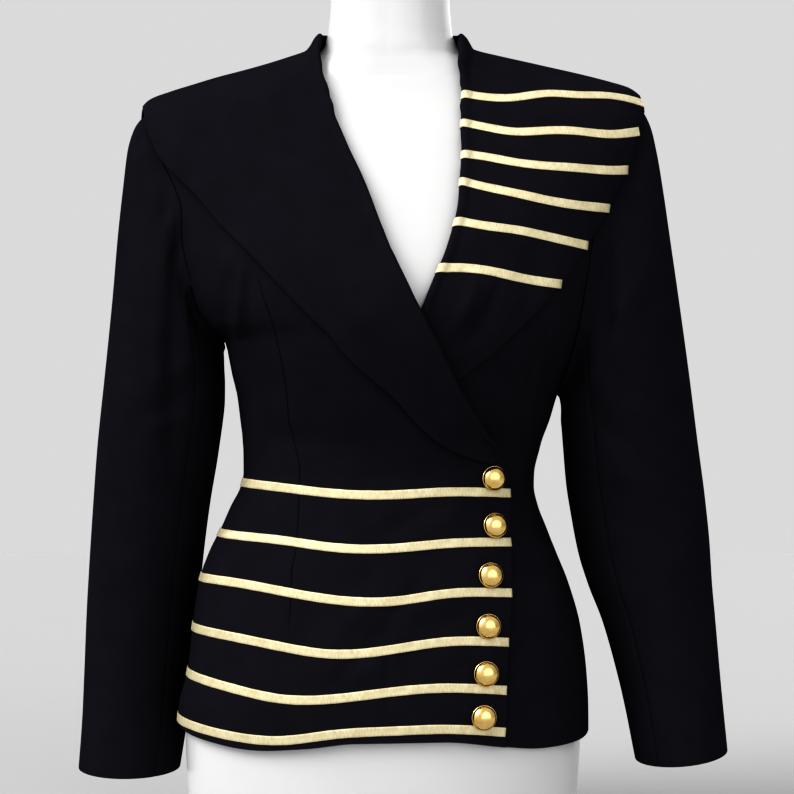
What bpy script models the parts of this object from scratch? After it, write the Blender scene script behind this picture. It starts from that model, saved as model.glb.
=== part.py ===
"""A military-style blazer on a limbless dress form.

The jacket is a set of cloth walls, each cut as a tailor would cut it: fronts, backs, two-piece
sleeves and a wide shawl collar, trimmed with braid and domed buttons. Every piece is worked out
from one body surface, so pieces that lie on each other follow the same form.

Sizes are in millimetres and become metres as each mesh is made. +Z is up, the front faces -Y, the
wearer's left is +X, and the origin is the middle of the form's flat base.
"""
import math

import bpy
from mathutils import Vector

MM = 0.001

# Driving sizes
WOOL = 1.6              # thickness of the body and sleeve cloth
COLLAR_WOOL = 1.4       # thickness of the collar cloth
SEAM_HALF = 0.2         # each edge stands back this far from its seam line
SLEEVE_SEAM_HALF = 0.35
ARMHOLE_GAP = 0.4       # between a body edge and the sleeve sewn to it
LAP_DEPTH = 3.0         # how far the left front lies below the right front
COLLAR_STANDOFF = 0.4   # between the neck edge and the collar sewn on it
BRAID_WIDTH = 7.6
BRAID_THICKNESS = 1.2
BRAID_GAP = 0.6         # between a hip braid and the cloth below it
COLLAR_BRAID_GAP = 0.9
ROLL_WIDTH = 5.2        # across the fold where the collar turns over, at the back of the neck
NECK_HEIGHT = 691.0     # where the neck seam passes the shoulder seam
BODY_COLUMNS = 13       # strips across a front
BACK_COLUMNS = 8        # strips across half of the back
ARM_STEPS = 10          # strips from the underarm up to the shoulder

# The body's outer surface: a row for each level section.
# height, right half, left half, front depth, back depth, middle y, squareness
BODY = [
    (60, 186.5, 174.5, 111, 123, 2, 2.2),
    (92, 186.0, 173.5, 112, 124, 2, 2.2),
    (120, 184.5, 173.2, 112, 125, 2, 2.2),
    (150, 177.0, 171.5, 110, 124, 2, 2.2),
    (190, 172.5, 166.0, 106, 118, 2, 2.2),
    (227, 167.0, 155.5, 101, 108, 1, 2.15),
    (253, 158.0, 145.0, 96, 100, 0, 2.1),
    (275, 147.0, 136.5, 92, 93, 0, 2.1),
    (293, 139.0, 129.5, 89, 88, 0, 2.1),
    (310, 130.5, 126.0, 87, 84, 0, 2.1),
    (322, 128.0, 126.5, 86, 82, 0, 2.1),
    (345, 128.2, 131.2, 89, 82, 0, 2.1),
    (366, 130.5, 139.0, 95, 83, 0, 2.15),
    (390, 133.5, 146.0, 103, 86, 0, 2.2),
    (420, 140.0, 160.0, 112, 90, 0, 2.25),
    (438, 143.6, 168.0, 116, 93, 0, 2.3),
    (452, 163.0, 173.0, 118, 95, 0, 2.3),
    (470, 175.0, 178.0, 119, 97, 0, 2.3),
    (500, 186.0, 186.0, 114, 99, 0, 2.3),
    (530, 194.0, 194.0, 104, 100, 1, 2.3),
    (560, 203.0, 204.0, 93, 99, 2, 2.25),
    (590, 213.0, 214.0, 80, 96, 3, 2.2),
    (610, 217.0, 219.0, 72, 92, 4, 2.1),
    (626, 214.5, 218.5, 66, 87, 5, 2.05),
    (634, 211.5, 216.0, 63, 83, 5, 1.95),
    (640, 207.5, 214.0, 61, 80, 6, 1.9),
    (648, 189.0, 206.5, 58, 76, 6, 1.8),
    (654, 172.0, 190.5, 56, 73, 6, 1.75),
    (662, 149.0, 165.0, 54, 69, 6, 1.75),
    (668, 129.0, 144.5, 53, 67, 6, 1.75),
    (674.5, 108.0, 121.5, 52.5, 64, 6, 1.8),
    (680.5, 90.0, 98.5, 52.5, 62, 6, 1.85),
    (686, 74.0, 77.0, 53, 61, 5.5, 1.9),
    (691, 64.5, 65.0, 54, 60, 5, 2.0),
]

# The form under the cloth: the same columns, from its base to the top of its neck.
FORM = [
    (0, 174.0, 161.0, 99, 110, 2, 2.2),
    (40, 176.0, 163.0, 102, 113, 2, 2.2),
    (92, 178.5, 166.0, 104, 116, 2, 2.2),
    (125, 176.5, 166.0, 104, 117, 2, 2.2),
    (190, 165.0, 158.0, 98, 110, 2, 2.2),
    (253, 149.0, 137.0, 88, 92, 0, 2.1),
    (293, 131.0, 121.5, 81, 80, 0, 2.1),
    (322, 118.5, 118.0, 78, 74, 0, 2.1),
    (345, 118.8, 121.3, 81, 74, 0, 2.1),
    (390, 124.6, 136.0, 95, 78, 0, 2.2),
    (438, 135.0, 141.0, 108, 85, 0, 2.3),
    (470, 146.0, 150.0, 111, 89, 0, 2.3),
    (500, 156.0, 160.0, 107, 92, 0, 2.3),
    (530, 164.0, 166.0, 98, 94, 1, 2.3),
    (560, 169.0, 171.0, 87.5, 94, 2, 2.25),
    (590, 173.0, 175.0, 75.5, 91, 3, 2.2),
    (620, 176.0, 178.0, 63.5, 84, 4, 2.1),
    (640, 175.0, 178.0, 56, 75, 6, 1.9),
    (652, 155.0, 173.0, 51.5, 68, 6, 1.8),
    (662, 132.5, 156.5, 49, 63, 6, 1.75),
    (668, 111.0, 131.0, 48, 61, 6, 1.75),
    (674.5, 91.5, 107.0, 47.5, 59, 6, 1.8),
    (680.5, 77.0, 84.5, 47, 57, 6, 1.85),
    (686, 65.5, 66.8, 46.5, 55, 5.5, 1.9),
    (693, 58.5, 59.4, 46, 54, 5, 2.0),
    (706, 54.5, 54.5, 45, 52, 5, 2.0),
    (735, 52.0, 52.0, 44, 51, 5, 2.0),
    (756, 51.5, 51.5, 43.5, 50.5, 5, 2.0),
    (761, 49.5, 49.5, 42, 48.5, 5, 2.0),
    (763, 46.0, 46.0, 39, 45, 5, 2.0),
]

# The hem: turn round the body in degrees (0 centre front, 90 the wearer's left side), height
HEM = [
    (-180, 100), (-90, 105), (-57, 97), (-35, 92), (-20, 95), (-7, 100), (13, 101),
    (32, 95), (45, 92), (67, 94), (90, 99), (180, 100),
]

# Where a sleeve joins the body, seen from the front: height, half width
RIGHT_ARMHOLE = [
    (438, 143.6), (444, 150), (451, 158.5), (470, 168), (486, 170.5), (501, 174), (523, 178),
    (549, 178.5), (566, 184), (589, 195), (606, 203), (625, 208.5), (640, 207.5),
]
LEFT_ARMHOLE = [
    (390, 146), (396, 147), (409, 151), (427, 157), (451, 162), (482, 167), (507, 171),
    (530, 174.5), (560, 183), (590, 196), (612, 205), (630, 209.5), (640, 210.5), (646, 208.5),
]

# The closing edge of the right front: height, x
CLOSING_EDGE = [(95, 97), (107, 97), (142, 98), (182, 100), (222, 103), (307, 103), (322, 101)]
LEFT_EDGE_X = -5.0      # the hidden edge of the left front

# Level rows below the collar, above the hem; the lowest row follows the hem's own line
LOWER_ROWS = (125, 155, 190, 225, 262, 293, 318)
HEM_ROW = 0

# The fronts' rows beside the collar. Each row runs from the neck edge, where the collar is sewn
# on, out to the side seam, armhole or shoulder seam. Each is also a section of the collar, which
# stands out, up and leaning in from the neck edge, rolls over and falls to its outer edge.
# neck x, neck height, edge x, edge height, stand out, stand up, lean in, roll, edge lift
RIGHT_COLLAR = [
    (94, 339, 87, 331, 4.4, 0, 0, 2.0, 3.2),
    (86, 348, 69, 336, 5.2, 0, 0, 2.6, 3.6),
    (77, 359, 52, 343, 5.7, 0, 0, 2.8, 3.9),
    (61, 384, 27, 362, 6.0, 0, 0, 3.0, 4.2),
    (42, 422, -5, 396, 6.0, 0, 0, 3.0, 4.2),
    (23, 459, -38, 426, 6.0, 0, 0, 3.0, 4.2),
    (6, 493, -67, 456, 6.0, 0, 0, 3.0, 4.2),
    (-9, 528, -98, 488, 6.0, 0, 0, 3.0, 4.4),
    (-19, 555, -120, 511, 6.0, 0, 0, 3.0, 4.6),
    (-30, 581, -141, 532, 6.0, 0, 0, 3.0, 5.2),
    (-42, 608, -162, 557, 6.0, 0, 0, 3.0, 6.6),
    (-52, 638, -182, 577, 6.0, 0.5, 0, 3.0, 8.4),
    (-57, 655, -197, 594, 6.0, 2, 0, 3.0, 10.0),
    (-61.5, 670, -205, 610, 6.0, 5, 1, 3.0, 9.0),
    (-63.5, 683, -209, 622, 5.4, 9, 2.5, 3.0, 8.8),
    (-63.4, 691, -209, 631, 4.8, 12, 3, 2.6, 9.0),
]
LEFT_COLLAR = [
    (0, 379, 9, 370, 4.6, 0, 0, 2.2, 3.2),
    (6, 402, 30, 385, 4.8, 0, 0, 2.4, 3.4),
    (16, 430, 55, 399, 5.0, 0, 0, 2.4, 3.6),
    (29, 461, 86, 423, 5.4, 0, 0, 2.6, 3.8),
    (39, 485, 110, 445, 6.0, 0, 0, 3.0, 4.2),
    (48, 506, 130, 466, 6.0, 0, 0, 3.0, 4.4),
    (55, 528, 152, 494, 6.0, 0, 0, 3.0, 4.6),
    (60, 552, 170, 521, 6.0, 0, 0, 3.0, 5.6),
    (62, 577, 184, 545, 6.0, 0, 0, 3.0, 9.5),
    (63, 602, 197, 570, 6.0, 0, 0, 3.0, 12.0),
    (63, 625, 206, 592, 6.0, 0.5, 0, 3.0, 12.5),
    (63, 645, 211, 610, 6.2, 2, 0, 2.6, 12.0),
    (62, 660, 213, 623, 6.8, 4, 0.5, 2.4, 11.5),
    (60.5, 672, 213, 633, 7.6, 6.0, 1, 2.2, 11.0),
    (61, 683, 212, 639, 6.6, 8.5, 2, 2.2, 11.0),
    (63.6, 691, 210.5, 643, 5.0, 12, 2.5, 2.6, 11.4),
]
# The collar round the back of the neck, from the shoulder seam to the centre back, level with
# the columns of the back: edge height, stand up, lean in
BACK_COLLAR = [
    (640, 12.5, 4.5), (624, 13.5, 4.5), (606, 15, 4.5), (591, 16.5, 4.5), (582, 18, 4.5),
    (575, 19.5, 4.5), (570, 20.5, 4.5), (567, 21, 4.5), (566, 21.5, 4.5),
]
FORWARD_SHARE = 0.85    # how far the lift of the outer edge turns from off the cloth to forward
SHOULDER_HEIGHT = 645.0  # the lift turns forward below this
SHOULDER_DROP = 2.0     # the edge crosses the shoulder seam this far below the armhole's top
BACK_LIFT = 5.5         # how far the edge stands off the back
# Heights of the rows at the side seam, below the armhole, and on the shoulder seam above it
RIGHT_SIDE_ROWS = (333, 385)
LEFT_SIDE_ROWS = (352, 371)
SHOULDER_STEPS = 3

# Angles round the fold where the collar turns over, from its stand to its fall
ROLL_ANGLES = (35, 75, 115, 155)
# Distances from the roll where the fall comes down, and the share of its width that caps them
FALL_STARTS = [(4.0, 0.12), (9.0, 0.26), (16.0, 0.42)]
FALL_STEPS = 5
FALL_DROP = 12.0        # the fall has come down to the chest this far from the roll,
SHOULDER_FALL_DROP = 20.0  # and to the shoulder and back this far from it

# A sleeve, from the armhole to the cuff:
# inner x, inner height, outer x, outer height, middle y, half depth, dip of the front
RIGHT_SLEEVE = [
    (143.6, 438, 207.5, 640, 6, 46, 0),
    (145.0, 435, 215, 634.5, 6, 45.5, 0),
    (145.6, 431, 222.5, 626.5, 6, 46.5, 0),
    (145.6, 427, 229, 608, 6, 49.5, 0),
    (145.5, 421, 234, 570, 7, 55, 0),
    (145.5, 413, 238.5, 530, 8, 58, 0),
    (145.2, 402, 243.5, 475, 10, 58, 0),
    (145.6, 384, 251, 405, 13, 57, 0),
    (152, 338, 258.6, 342, 22, 55, 0),
    (160, 293, 263, 295, 30, 53, 0),
    (166.5, 245, 267, 245, 36, 51.5, 0),
    (171.5, 196, 270.5, 196, 42, 50, 0),
    (176.8, 146, 273, 146, 46, 48, 0),
    (182, 97, 275.5, 97, 48, 46, 1),
    (188, 58, 278.5, 58, 48, 44, 5),
]
LEFT_SLEEVE = [
    (146, 390, 209.5, 646, 6, 46, 0),
    (148.3, 387, 219, 642, 6, 45.5, 0),
    (149.2, 383, 227, 629, 6, 46.5, 0),
    (149.8, 379, 233, 605, 6, 50.5, 0),
    (150, 374, 239.3, 568, 6, 55, 0),
    (150, 368, 245, 530, 7, 59.5, 0),
    (151, 358, 252.2, 482, 9, 60, 0),
    (152.5, 342, 262.2, 412, 12, 60, 0),
    (155.3, 312, 270.8, 348, 16, 59, 0),
    (160, 283, 277.5, 300, 19, 57.5, 0),
    (166.5, 250, 282, 256, 20, 56, 0),
    (175.5, 221, 283.7, 224, 18, 53, 0),
    (187.5, 190, 286, 196, 16, 49.5, 0),
    (203.8, 128, 290.5, 134, 8, 44.5, 1),
    (214.8, 71.5, 295.2, 80, 2, 41.5, 5),
]
# Ring points between the seams of a sleeve, counted from the underarm
FRONT_SLEEVE_SEAM = 3
BACK_SLEEVE_SEAM = 16

# Braids on the right hip: heights at the places named in HIP_PLACES
HIP_PLACES = (103, 46, 5, -48, -90, -130, -185)
HIP_BRAIDS = [
    (306, 308, 306, 307, 311, 314, 316),
    (265, 265, 261.5, 262, 267, 269.5, 272),
    (223, 223.5, 218, 219, 225, 230.5, 232),
    (182, 184, 178.5, 174, 179, 185, 190),
    (142, 146, 143.5, 137, 136, 142, 151),
    (107, 112, 111, 107.5, 101.5, 102.5, 110),
]
# Braids on the left collar: heights at the places named in COLLAR_PLACES
COLLAR_PLACES = (60, 80, 105, 135, 160, 190, 220)
COLLAR_BRAIDS = [
    (647, 644, 643.5, 648, 647.5, 648, 644),
    (621, 617, 613, 614.5, 614.5, 613, 619),
    (593, 590.5, 586, 583, 582, 581.5, 586),
    (569, 564, 559, 553, 550, 549, 549),
    (534, 530.5, 527.5, 522, 517.5, 514, 514),
    (495, 493, 488, 483.5, 482, 482, 482),
]

# Buttons: x, height
BUTTONS = [(87, 319), (88, 279), (84, 238), (82, 196), (80, 157), (78, 121)]
BUTTON_TURN = 0.55      # how far a button turns from facing forward to lying flat on the cloth
BUTTON_SIDES = 20
# Profile of a button, from the middle of its face to its back: radius, height above the cloth
BUTTON_PROFILE = [
    (0.0, 7.6), (4.6, 7.1), (7.8, 5.9), (9.0, 4.9), (9.9, 4.6), (9.9, 3.6), (8.6, 2.9), (0.0, 2.9),
]
SHANK_RADIUS = 3.0
SHANK_FOOT = 0.5        # from the cloth to the foot of a shank

# The largest soft folds: side, x and height of each end, half width, rise (below zero, a trough)
BODY_FOLDS = [
    ("right", -122, 500, -128, 400, 8, 2.2),
    ("right", -30, 250, 60, 292, 11, 1.2),
    ("right", -20, 196, 70, 228, 12, 1.4),
    ("right", -70, 150, 20, 196, 14, 1.2),
    ("left", 128, 420, 116, 350, 9, 1.6),
]
COLLAR_FOLDS = [
    ("left", 78, 400, 128, 470, 9, 2.0),
    ("left", 96, 404, 150, 478, 8, -1.2),
    ("left", 60, 452, 118, 520, 12, 1.6),
    ("right", -20, 440, -100, 545, 16, 1.4),
]

# Colours as red, green, blue from 0 to 1, with roughness and metallic value
BLACK_WOOL = ((0.006, 0.006, 0.008), 0.85, 0.0)
GOLD_BRAID = ((0.62, 0.47, 0.20), 0.45, 0.6)
GOLD_METAL = ((0.80, 0.55, 0.18), 0.2, 1.0)
WHITE_GLOSS = ((0.80, 0.80, 0.80), 0.15, 0.0)


class Curve:
    """A smooth curve through the rows of a table, which never swings past them."""

    def __init__(self, places, values):
        self.places = list(places)
        self.values = list(values)
        steps = [after - before for before, after in zip(self.places, self.places[1:])]
        rises = [after - before for before, after in zip(self.values, self.values[1:])]
        rates = [rise / step for rise, step in zip(rises, steps)]
        self.slopes = [rates[0]]
        for before, after in zip(rates, rates[1:]):
            turns_back = before * after <= 0
            self.slopes.append(0.0 if turns_back else 2 * before * after / (before + after))
        self.slopes.append(rates[-1])

    def __call__(self, place):
        place = min(max(place, self.places[0]), self.places[-1])
        index = 0
        while index < len(self.places) - 2 and place >= self.places[index + 1]:
            index += 1
        step = self.places[index + 1] - self.places[index]
        t = (place - self.places[index]) / step
        start = (1 + 2 * t) * (1 - t) ** 2 * self.values[index]
        start += t * (1 - t) ** 2 * step * self.slopes[index]
        end = t * t * (3 - 2 * t) * self.values[index + 1]
        end += t * t * (t - 1) * step * self.slopes[index + 1]
        return start + end


class Figure:
    """A closed upright surface through a table of level sections."""

    def __init__(self, table):
        heights, *columns = zip(*table)
        self.lowest, self.highest = heights[0], heights[-1]
        self.curves = [Curve(heights, column) for column in columns]

    def section(self, height):
        return [curve(height) for curve in self.curves]

    def point(self, turn, height):
        """The point at a turn round the figure: 0 is centre front, 90 the left side."""
        right, left, front, back, middle, squareness = self.section(height)
        sine = math.sin(math.radians(turn))
        cosine = math.cos(math.radians(turn))
        power = 2 / squareness
        half = left if sine >= 0 else right
        depth = front if cosine >= 0 else back
        x = half * math.copysign(abs(sine) ** power, sine)
        y = middle - depth * math.copysign(abs(cosine) ** power, cosine)
        return Vector((x, y, height))

    def normal(self, turn, height):
        """The direction straight out of the surface."""
        low = max(height - 1, self.lowest)
        high = min(height + 1, self.highest)
        around = self.point(turn + 1, height) - self.point(turn - 1, height)
        upward = self.point(turn, high) - self.point(turn, low)
        return around.cross(upward).normalized()

    def turn_at(self, x, height):
        """The turn at which the front reaches x."""
        right, left, _front, _back, _middle, squareness = self.section(height)
        half = left if x >= 0 else right
        share = min(abs(x) / half, 1.0)
        return math.copysign(math.degrees(math.asin(share ** (squareness / 2))), x)


body = Figure(BODY)
form = Figure(FORM)
hem_height = Curve(*zip(*HEM))
closing_edge = Curve(*zip(*CLOSING_EDGE))


def smooth(share):
    """Ease from 0 to 1, flat at both ends."""
    share = min(max(share, 0.0), 1.0)
    return share * share * (3 - 2 * share)


def blend(start, end, share):
    return start + (end - start) * share


def fold_rise(folds, side, x, height):
    """How far the folds of one side lift the cloth at a place seen from the front."""
    rise = 0.0
    for fold_side, x1, height1, x2, height2, half_width, crest in folds:
        if fold_side != side:
            continue
        run_x, run_z = x2 - x1, height2 - height1
        length = math.hypot(run_x, run_z)
        along = ((x - x1) * run_x + (height - height1) * run_z) / length
        across = ((x - x1) * run_z - (height - height1) * run_x) / length
        ends = smooth(0.5 + 0.5 * min(along, length - along) / half_width)
        rise += crest * ends * math.exp(-(across / half_width) ** 2)
    return rise


# The right front rides over the left collar where the collars cross: centre x and height, flat
# radius, outer radius and rise.
CROSSING = (30, 420, 48, 112, 5.5)


def cloth_rise(side, point):
    """How far one side's cloth stands off the body surface at a point of it."""
    if point.y > 0:
        return 0.0
    rise = fold_rise(BODY_FOLDS, side, point.x, point.z)
    if side == "right":
        centre_x, centre_z, flat, reach, crest = CROSSING
        distance = math.hypot(point.x - centre_x, point.z - centre_z)
        return rise + crest * (1 - smooth((distance - flat) / (reach - flat)))
    beside = 1 - smooth((point.x - 112) / 34)
    below = 1 - smooth((point.z - 494) / 36)
    return rise - LAP_DEPTH * beside * below


def cloth_point(side, turn, height):
    """A point of the outer face of one side's cloth, and the direction out of it."""
    point = body.point(turn, height)
    normal = body.normal(turn, height)
    return point + normal * cloth_rise(side, point), normal


# ---------------------------------------------------------------- meshes


def make_material(name, finish):
    colour, roughness, metallic = finish
    material = bpy.data.materials.new(name)
    material.use_nodes = True
    shader = material.node_tree.nodes["Principled BSDF"]
    shader.inputs["Base Color"].default_value = (*colour, 1.0)
    shader.inputs["Roughness"].default_value = roughness
    shader.inputs["Metallic"].default_value = metallic
    return material


def make_object(name, points, faces, material):
    mesh = bpy.data.meshes.new(name)
    mesh.from_pydata([point * MM for point in points], [], faces)
    mesh.materials.append(material)
    mesh.shade_smooth()
    mesh.set_sharp_from_angle(angle=math.radians(50))
    piece = bpy.data.objects.new(name, mesh)
    garment.objects.link(piece)
    return piece


def loft(name, top, bottom, material):
    """A closed wall between an outer grid of points and an inner one."""
    rows, columns = len(top), len(top[0])
    points = [point for row in top for point in row] + [point for row in bottom for point in row]
    under = rows * columns

    def index(row, column):
        return row * columns + column

    faces = []
    for row in range(rows - 1):
        for column in range(columns - 1):
            corners = [
                index(row, column), index(row, column + 1),
                index(row + 1, column + 1), index(row + 1, column),
            ]
            faces.append(corners)
            faces.append([under + corners[place] for place in (0, 3, 2, 1)])
    rim = [index(0, column) for column in range(columns)]
    rim += [index(row, columns - 1) for row in range(1, rows)]
    rim += [index(rows - 1, column) for column in range(columns - 2, -1, -1)]
    rim += [index(row, 0) for row in range(rows - 2, 0, -1)]
    for here, after in zip(rim, rim[1:] + rim[:1]):
        faces.append([after, here, under + here, under + after])
    return make_object(name, points, faces, material)


def grid_normals(grid, closed=False):
    """The directions out of a grid whose columns run on and whose rows climb."""
    rows, columns = len(grid), len(grid[0])
    normals = []
    for row in range(rows):
        above = grid[min(row + 1, rows - 1)]
        below = grid[max(row - 1, 0)]
        line = []
        for column in range(columns):
            if closed:
                right, left = (column + 1) % columns, (column - 1) % columns
            else:
                right, left = min(column + 1, columns - 1), max(column - 1, 0)
            across = grid[row][right] - grid[row][left]
            line.append(across.cross(above[column] - below[column]).normalized())
        normals.append(line)
    return normals


def sink(grid, normals, depth):
    """The grid moved inward by a depth."""
    return [[p - n * depth for p, n in zip(line, outs)] for line, outs in zip(grid, normals)]


# ---------------------------------------------------------------- fronts and backs


def armhole_heights(armhole):
    """Heights of the rows up one armhole, closer together at its ends."""
    low, high = armhole[0][0], armhole[-1][0]
    angles = [math.pi * step / ARM_STEPS for step in range(ARM_STEPS + 1)]
    return [blend(low, high, (1 - math.cos(angle)) / 2) for angle in angles]


def outer_heights(armhole, side_rows):
    """Heights at a front's outer edge: side seam, armhole and shoulder seam."""
    heights = list(side_rows) + armhole_heights(armhole)
    top = armhole[-1][0]
    heights += [blend(top, NECK_HEIGHT, step / SHOULDER_STEPS) for step in range(1, SHOULDER_STEPS + 1)]
    return heights


def armhole_turn(sign, armhole, height):
    """The turn of a front's outer edge: at the side seam, or at the armhole's line."""
    if not armhole[0][0] < height < armhole[-1][0]:
        return 90.0 * sign
    return body.turn_at(sign * Curve(*zip(*armhole))(height), height)


def side_tables(side):
    """Sign of x, armhole, collar, side seam rows and sleeve of one side."""
    if side == "right":
        return -1, RIGHT_ARMHOLE, RIGHT_COLLAR, RIGHT_SIDE_ROWS, RIGHT_SLEEVE
    return 1, LEFT_ARMHOLE, LEFT_COLLAR, LEFT_SIDE_ROWS, LEFT_SLEEVE


def front_rows(side):
    """Rows of a front: turn and height at its inner edge, then at its outer edge."""
    sign, armhole, collar, side_rows, _ = side_tables(side)
    rows = []
    for height in (HEM_ROW,) + LOWER_ROWS:
        level = hem_height(0) if height == HEM_ROW else height
        inner_x = closing_edge(level) if sign < 0 else LEFT_EDGE_X
        rows.append((body.turn_at(inner_x, level), height, 90.0 * sign, height))
    if side == "left":
        rows.append((body.turn_at(LEFT_EDGE_X, 350), 350, 90.0, 335))
    for (x, height, *_), outer in zip(collar, outer_heights(armhole, side_rows)):
        rows.append((body.turn_at(x, height), height, armhole_turn(sign, armhole, outer), outer))
    return rows


def seam_shift(turn, sign, towards):
    """Moves an edge back from the side or shoulder seam."""
    at_seam = abs(turn - 90.0 * sign) < 0.001
    return Vector((0, towards * SEAM_HALF, 0)) if at_seam else Vector((0, 0, 0))


def front_grid(side):
    """Outer points and directions of a front, from its right edge to its left edge."""
    sign = side_tables(side)[0]
    grid, normals = [], []
    for turn_in, height_in, turn_out, height_out in front_rows(side):
        line, outs = [], []
        for column in range(BODY_COLUMNS + 1):
            share = column / BODY_COLUMNS
            turn = blend(turn_in, turn_out, share)
            height = hem_height(turn) if height_in == HEM_ROW else blend(height_in, height_out, share)
            point, normal = cloth_point(side, turn, height)
            line.append(point + seam_shift(turn, sign, -1))
            outs.append(normal)
        grid.append(line[::sign])
        normals.append(outs[::sign])
    return grid, normals


def back_grid(side):
    """Outer points and directions of half of the back, from its right edge to its left edge."""
    sign, armhole, _, side_rows, _ = side_tables(side)
    grid, normals = [], []
    for height in [HEM_ROW, *LOWER_ROWS, *outer_heights(armhole, side_rows)]:
        turn_out = 180.0 * sign - armhole_turn(sign, armhole, height)
        line, outs = [], []
        for column in range(BACK_COLUMNS + 1):
            turn = blend(turn_out, 180.0 * sign, column / BACK_COLUMNS)
            level = hem_height(turn) if height == HEM_ROW else height
            point = body.point(turn, level) + seam_shift(turn, sign, 1)
            if column == BACK_COLUMNS:
                point.x = sign * SEAM_HALF
            line.append(point)
            outs.append(body.normal(turn, level))
        grid.append(line[::sign])
        normals.append(outs[::sign])
    return grid, normals


def make_body_panel(name, grid, normals, material):
    loft(name, grid, sink(grid, normals, WOOL), material)


# ---------------------------------------------------------------- sleeves


def armhole_loop(sign, armhole):
    """The body's armhole as a ring: up its front from the underarm, then down its back."""
    ring = []
    heights = armhole_heights(armhole)
    for step in list(range(ARM_STEPS + 1)) + list(range(ARM_STEPS - 1, 0, -1)):
        turn = armhole_turn(sign, armhole, heights[step])
        if len(ring) > ARM_STEPS:
            turn = 180.0 * sign - turn
        ring.append(body.point(turn, heights[step]))
    return ring


def sleeve_ring(sign, row):
    """One ring of a sleeve, from its inner point round the front and the back."""
    inner_x, inner_z, outer_x, outer_z, middle, half_depth, dip = row
    inner = Vector((sign * inner_x, middle, inner_z))
    outer = Vector((sign * outer_x, middle, outer_z))
    ring = []
    for step in range(2 * ARM_STEPS):
        angle = math.pi * step / ARM_STEPS
        point = inner.lerp(outer, (1 - math.cos(angle)) / 2)
        point.y -= half_depth * math.sin(angle)
        point.z -= dip * math.sin(angle)
        ring.append(point)
    return ring


# How much of the armhole's own shape the first rings keep
ARMHOLE_HOLD = (1.0, 0.97, 0.88, 0.74, 0.55, 0.35, 0.15)


def sleeve_grid(side):
    """Outer points of a whole sleeve, ring by ring from the cuff up to the armhole."""
    sign, armhole, _, _, table = side_tables(side)
    rings = [sleeve_ring(sign, row) for row in table]
    loop = armhole_loop(sign, armhole)
    bends = [exact - plain for exact, plain in zip(loop, rings[0])]
    for ring, hold in zip(rings, ARMHOLE_HOLD):
        for step, bend in enumerate(bends):
            ring[step] = ring[step] + bend * hold
    rings[0] = [point + Vector((sign * ARMHOLE_GAP, 0, 0)) for point in rings[0]]
    grid = rings[::-1]
    if sign < 0:
        return [[ring[-step] for step in range(len(ring))] for ring in grid]
    return grid


def make_sleeve(side, material):
    """A sleeve in two pieces, the under sleeve below and the top sleeve above its seams."""
    grid = sleeve_grid(side)
    normals = grid_normals(grid, closed=True)
    inner = sink(grid, normals, WOOL)
    count = 2 * ARM_STEPS
    first, last = FRONT_SLEEVE_SEAM, BACK_SLEEVE_SEAM
    if side == "right":
        first, last = count - last, count - first
    spans = {"top": range(first, last + 1), "under": range(last, count + first + 1)}
    for part, span in spans.items():
        walls = []
        for layer in (grid, inner):
            wall = []
            for ring in layer:
                line = [ring[step % count].copy() for step in span]
                line[0] += (line[1] - line[0]).normalized() * SLEEVE_SEAM_HALF
                line[-1] += (line[-2] - line[-1]).normalized() * SLEEVE_SEAM_HALF
                wall.append(line)
            walls.append(wall)
        loft(f"{side}_{part}_sleeve", walls[0], walls[1], material)


# ---------------------------------------------------------------- collar


def collar_stations(side):
    """Sections of half a collar, from its front tip round to the centre back."""
    sign, armhole, table, _, _ = side_tables(side)
    stations = []
    for x, height, edge_x, edge_height, out, up, lean, roll, lift in table:
        stations.append((
            body.turn_at(x, height), height, body.turn_at(edge_x, edge_height), edge_height,
            out, up, lean, roll, lift,
        ))
    roll, lift = table[-1][7], table[-1][8]
    for column, (edge_height, up, lean) in enumerate(BACK_COLLAR):
        turn = sign * blend(90.0, 180.0, column / BACK_COLUMNS)
        edge_height += (armhole[-1][0] - SHOULDER_DROP - BACK_COLLAR[0][0]) * (1 - smooth(column / 4))
        back_lift = blend(lift, BACK_LIFT, smooth(column / 7))
        stations.append((turn, NECK_HEIGHT, turn, edge_height, ROLL_WIDTH, up, lean, roll, back_lift))
    return stations


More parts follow.
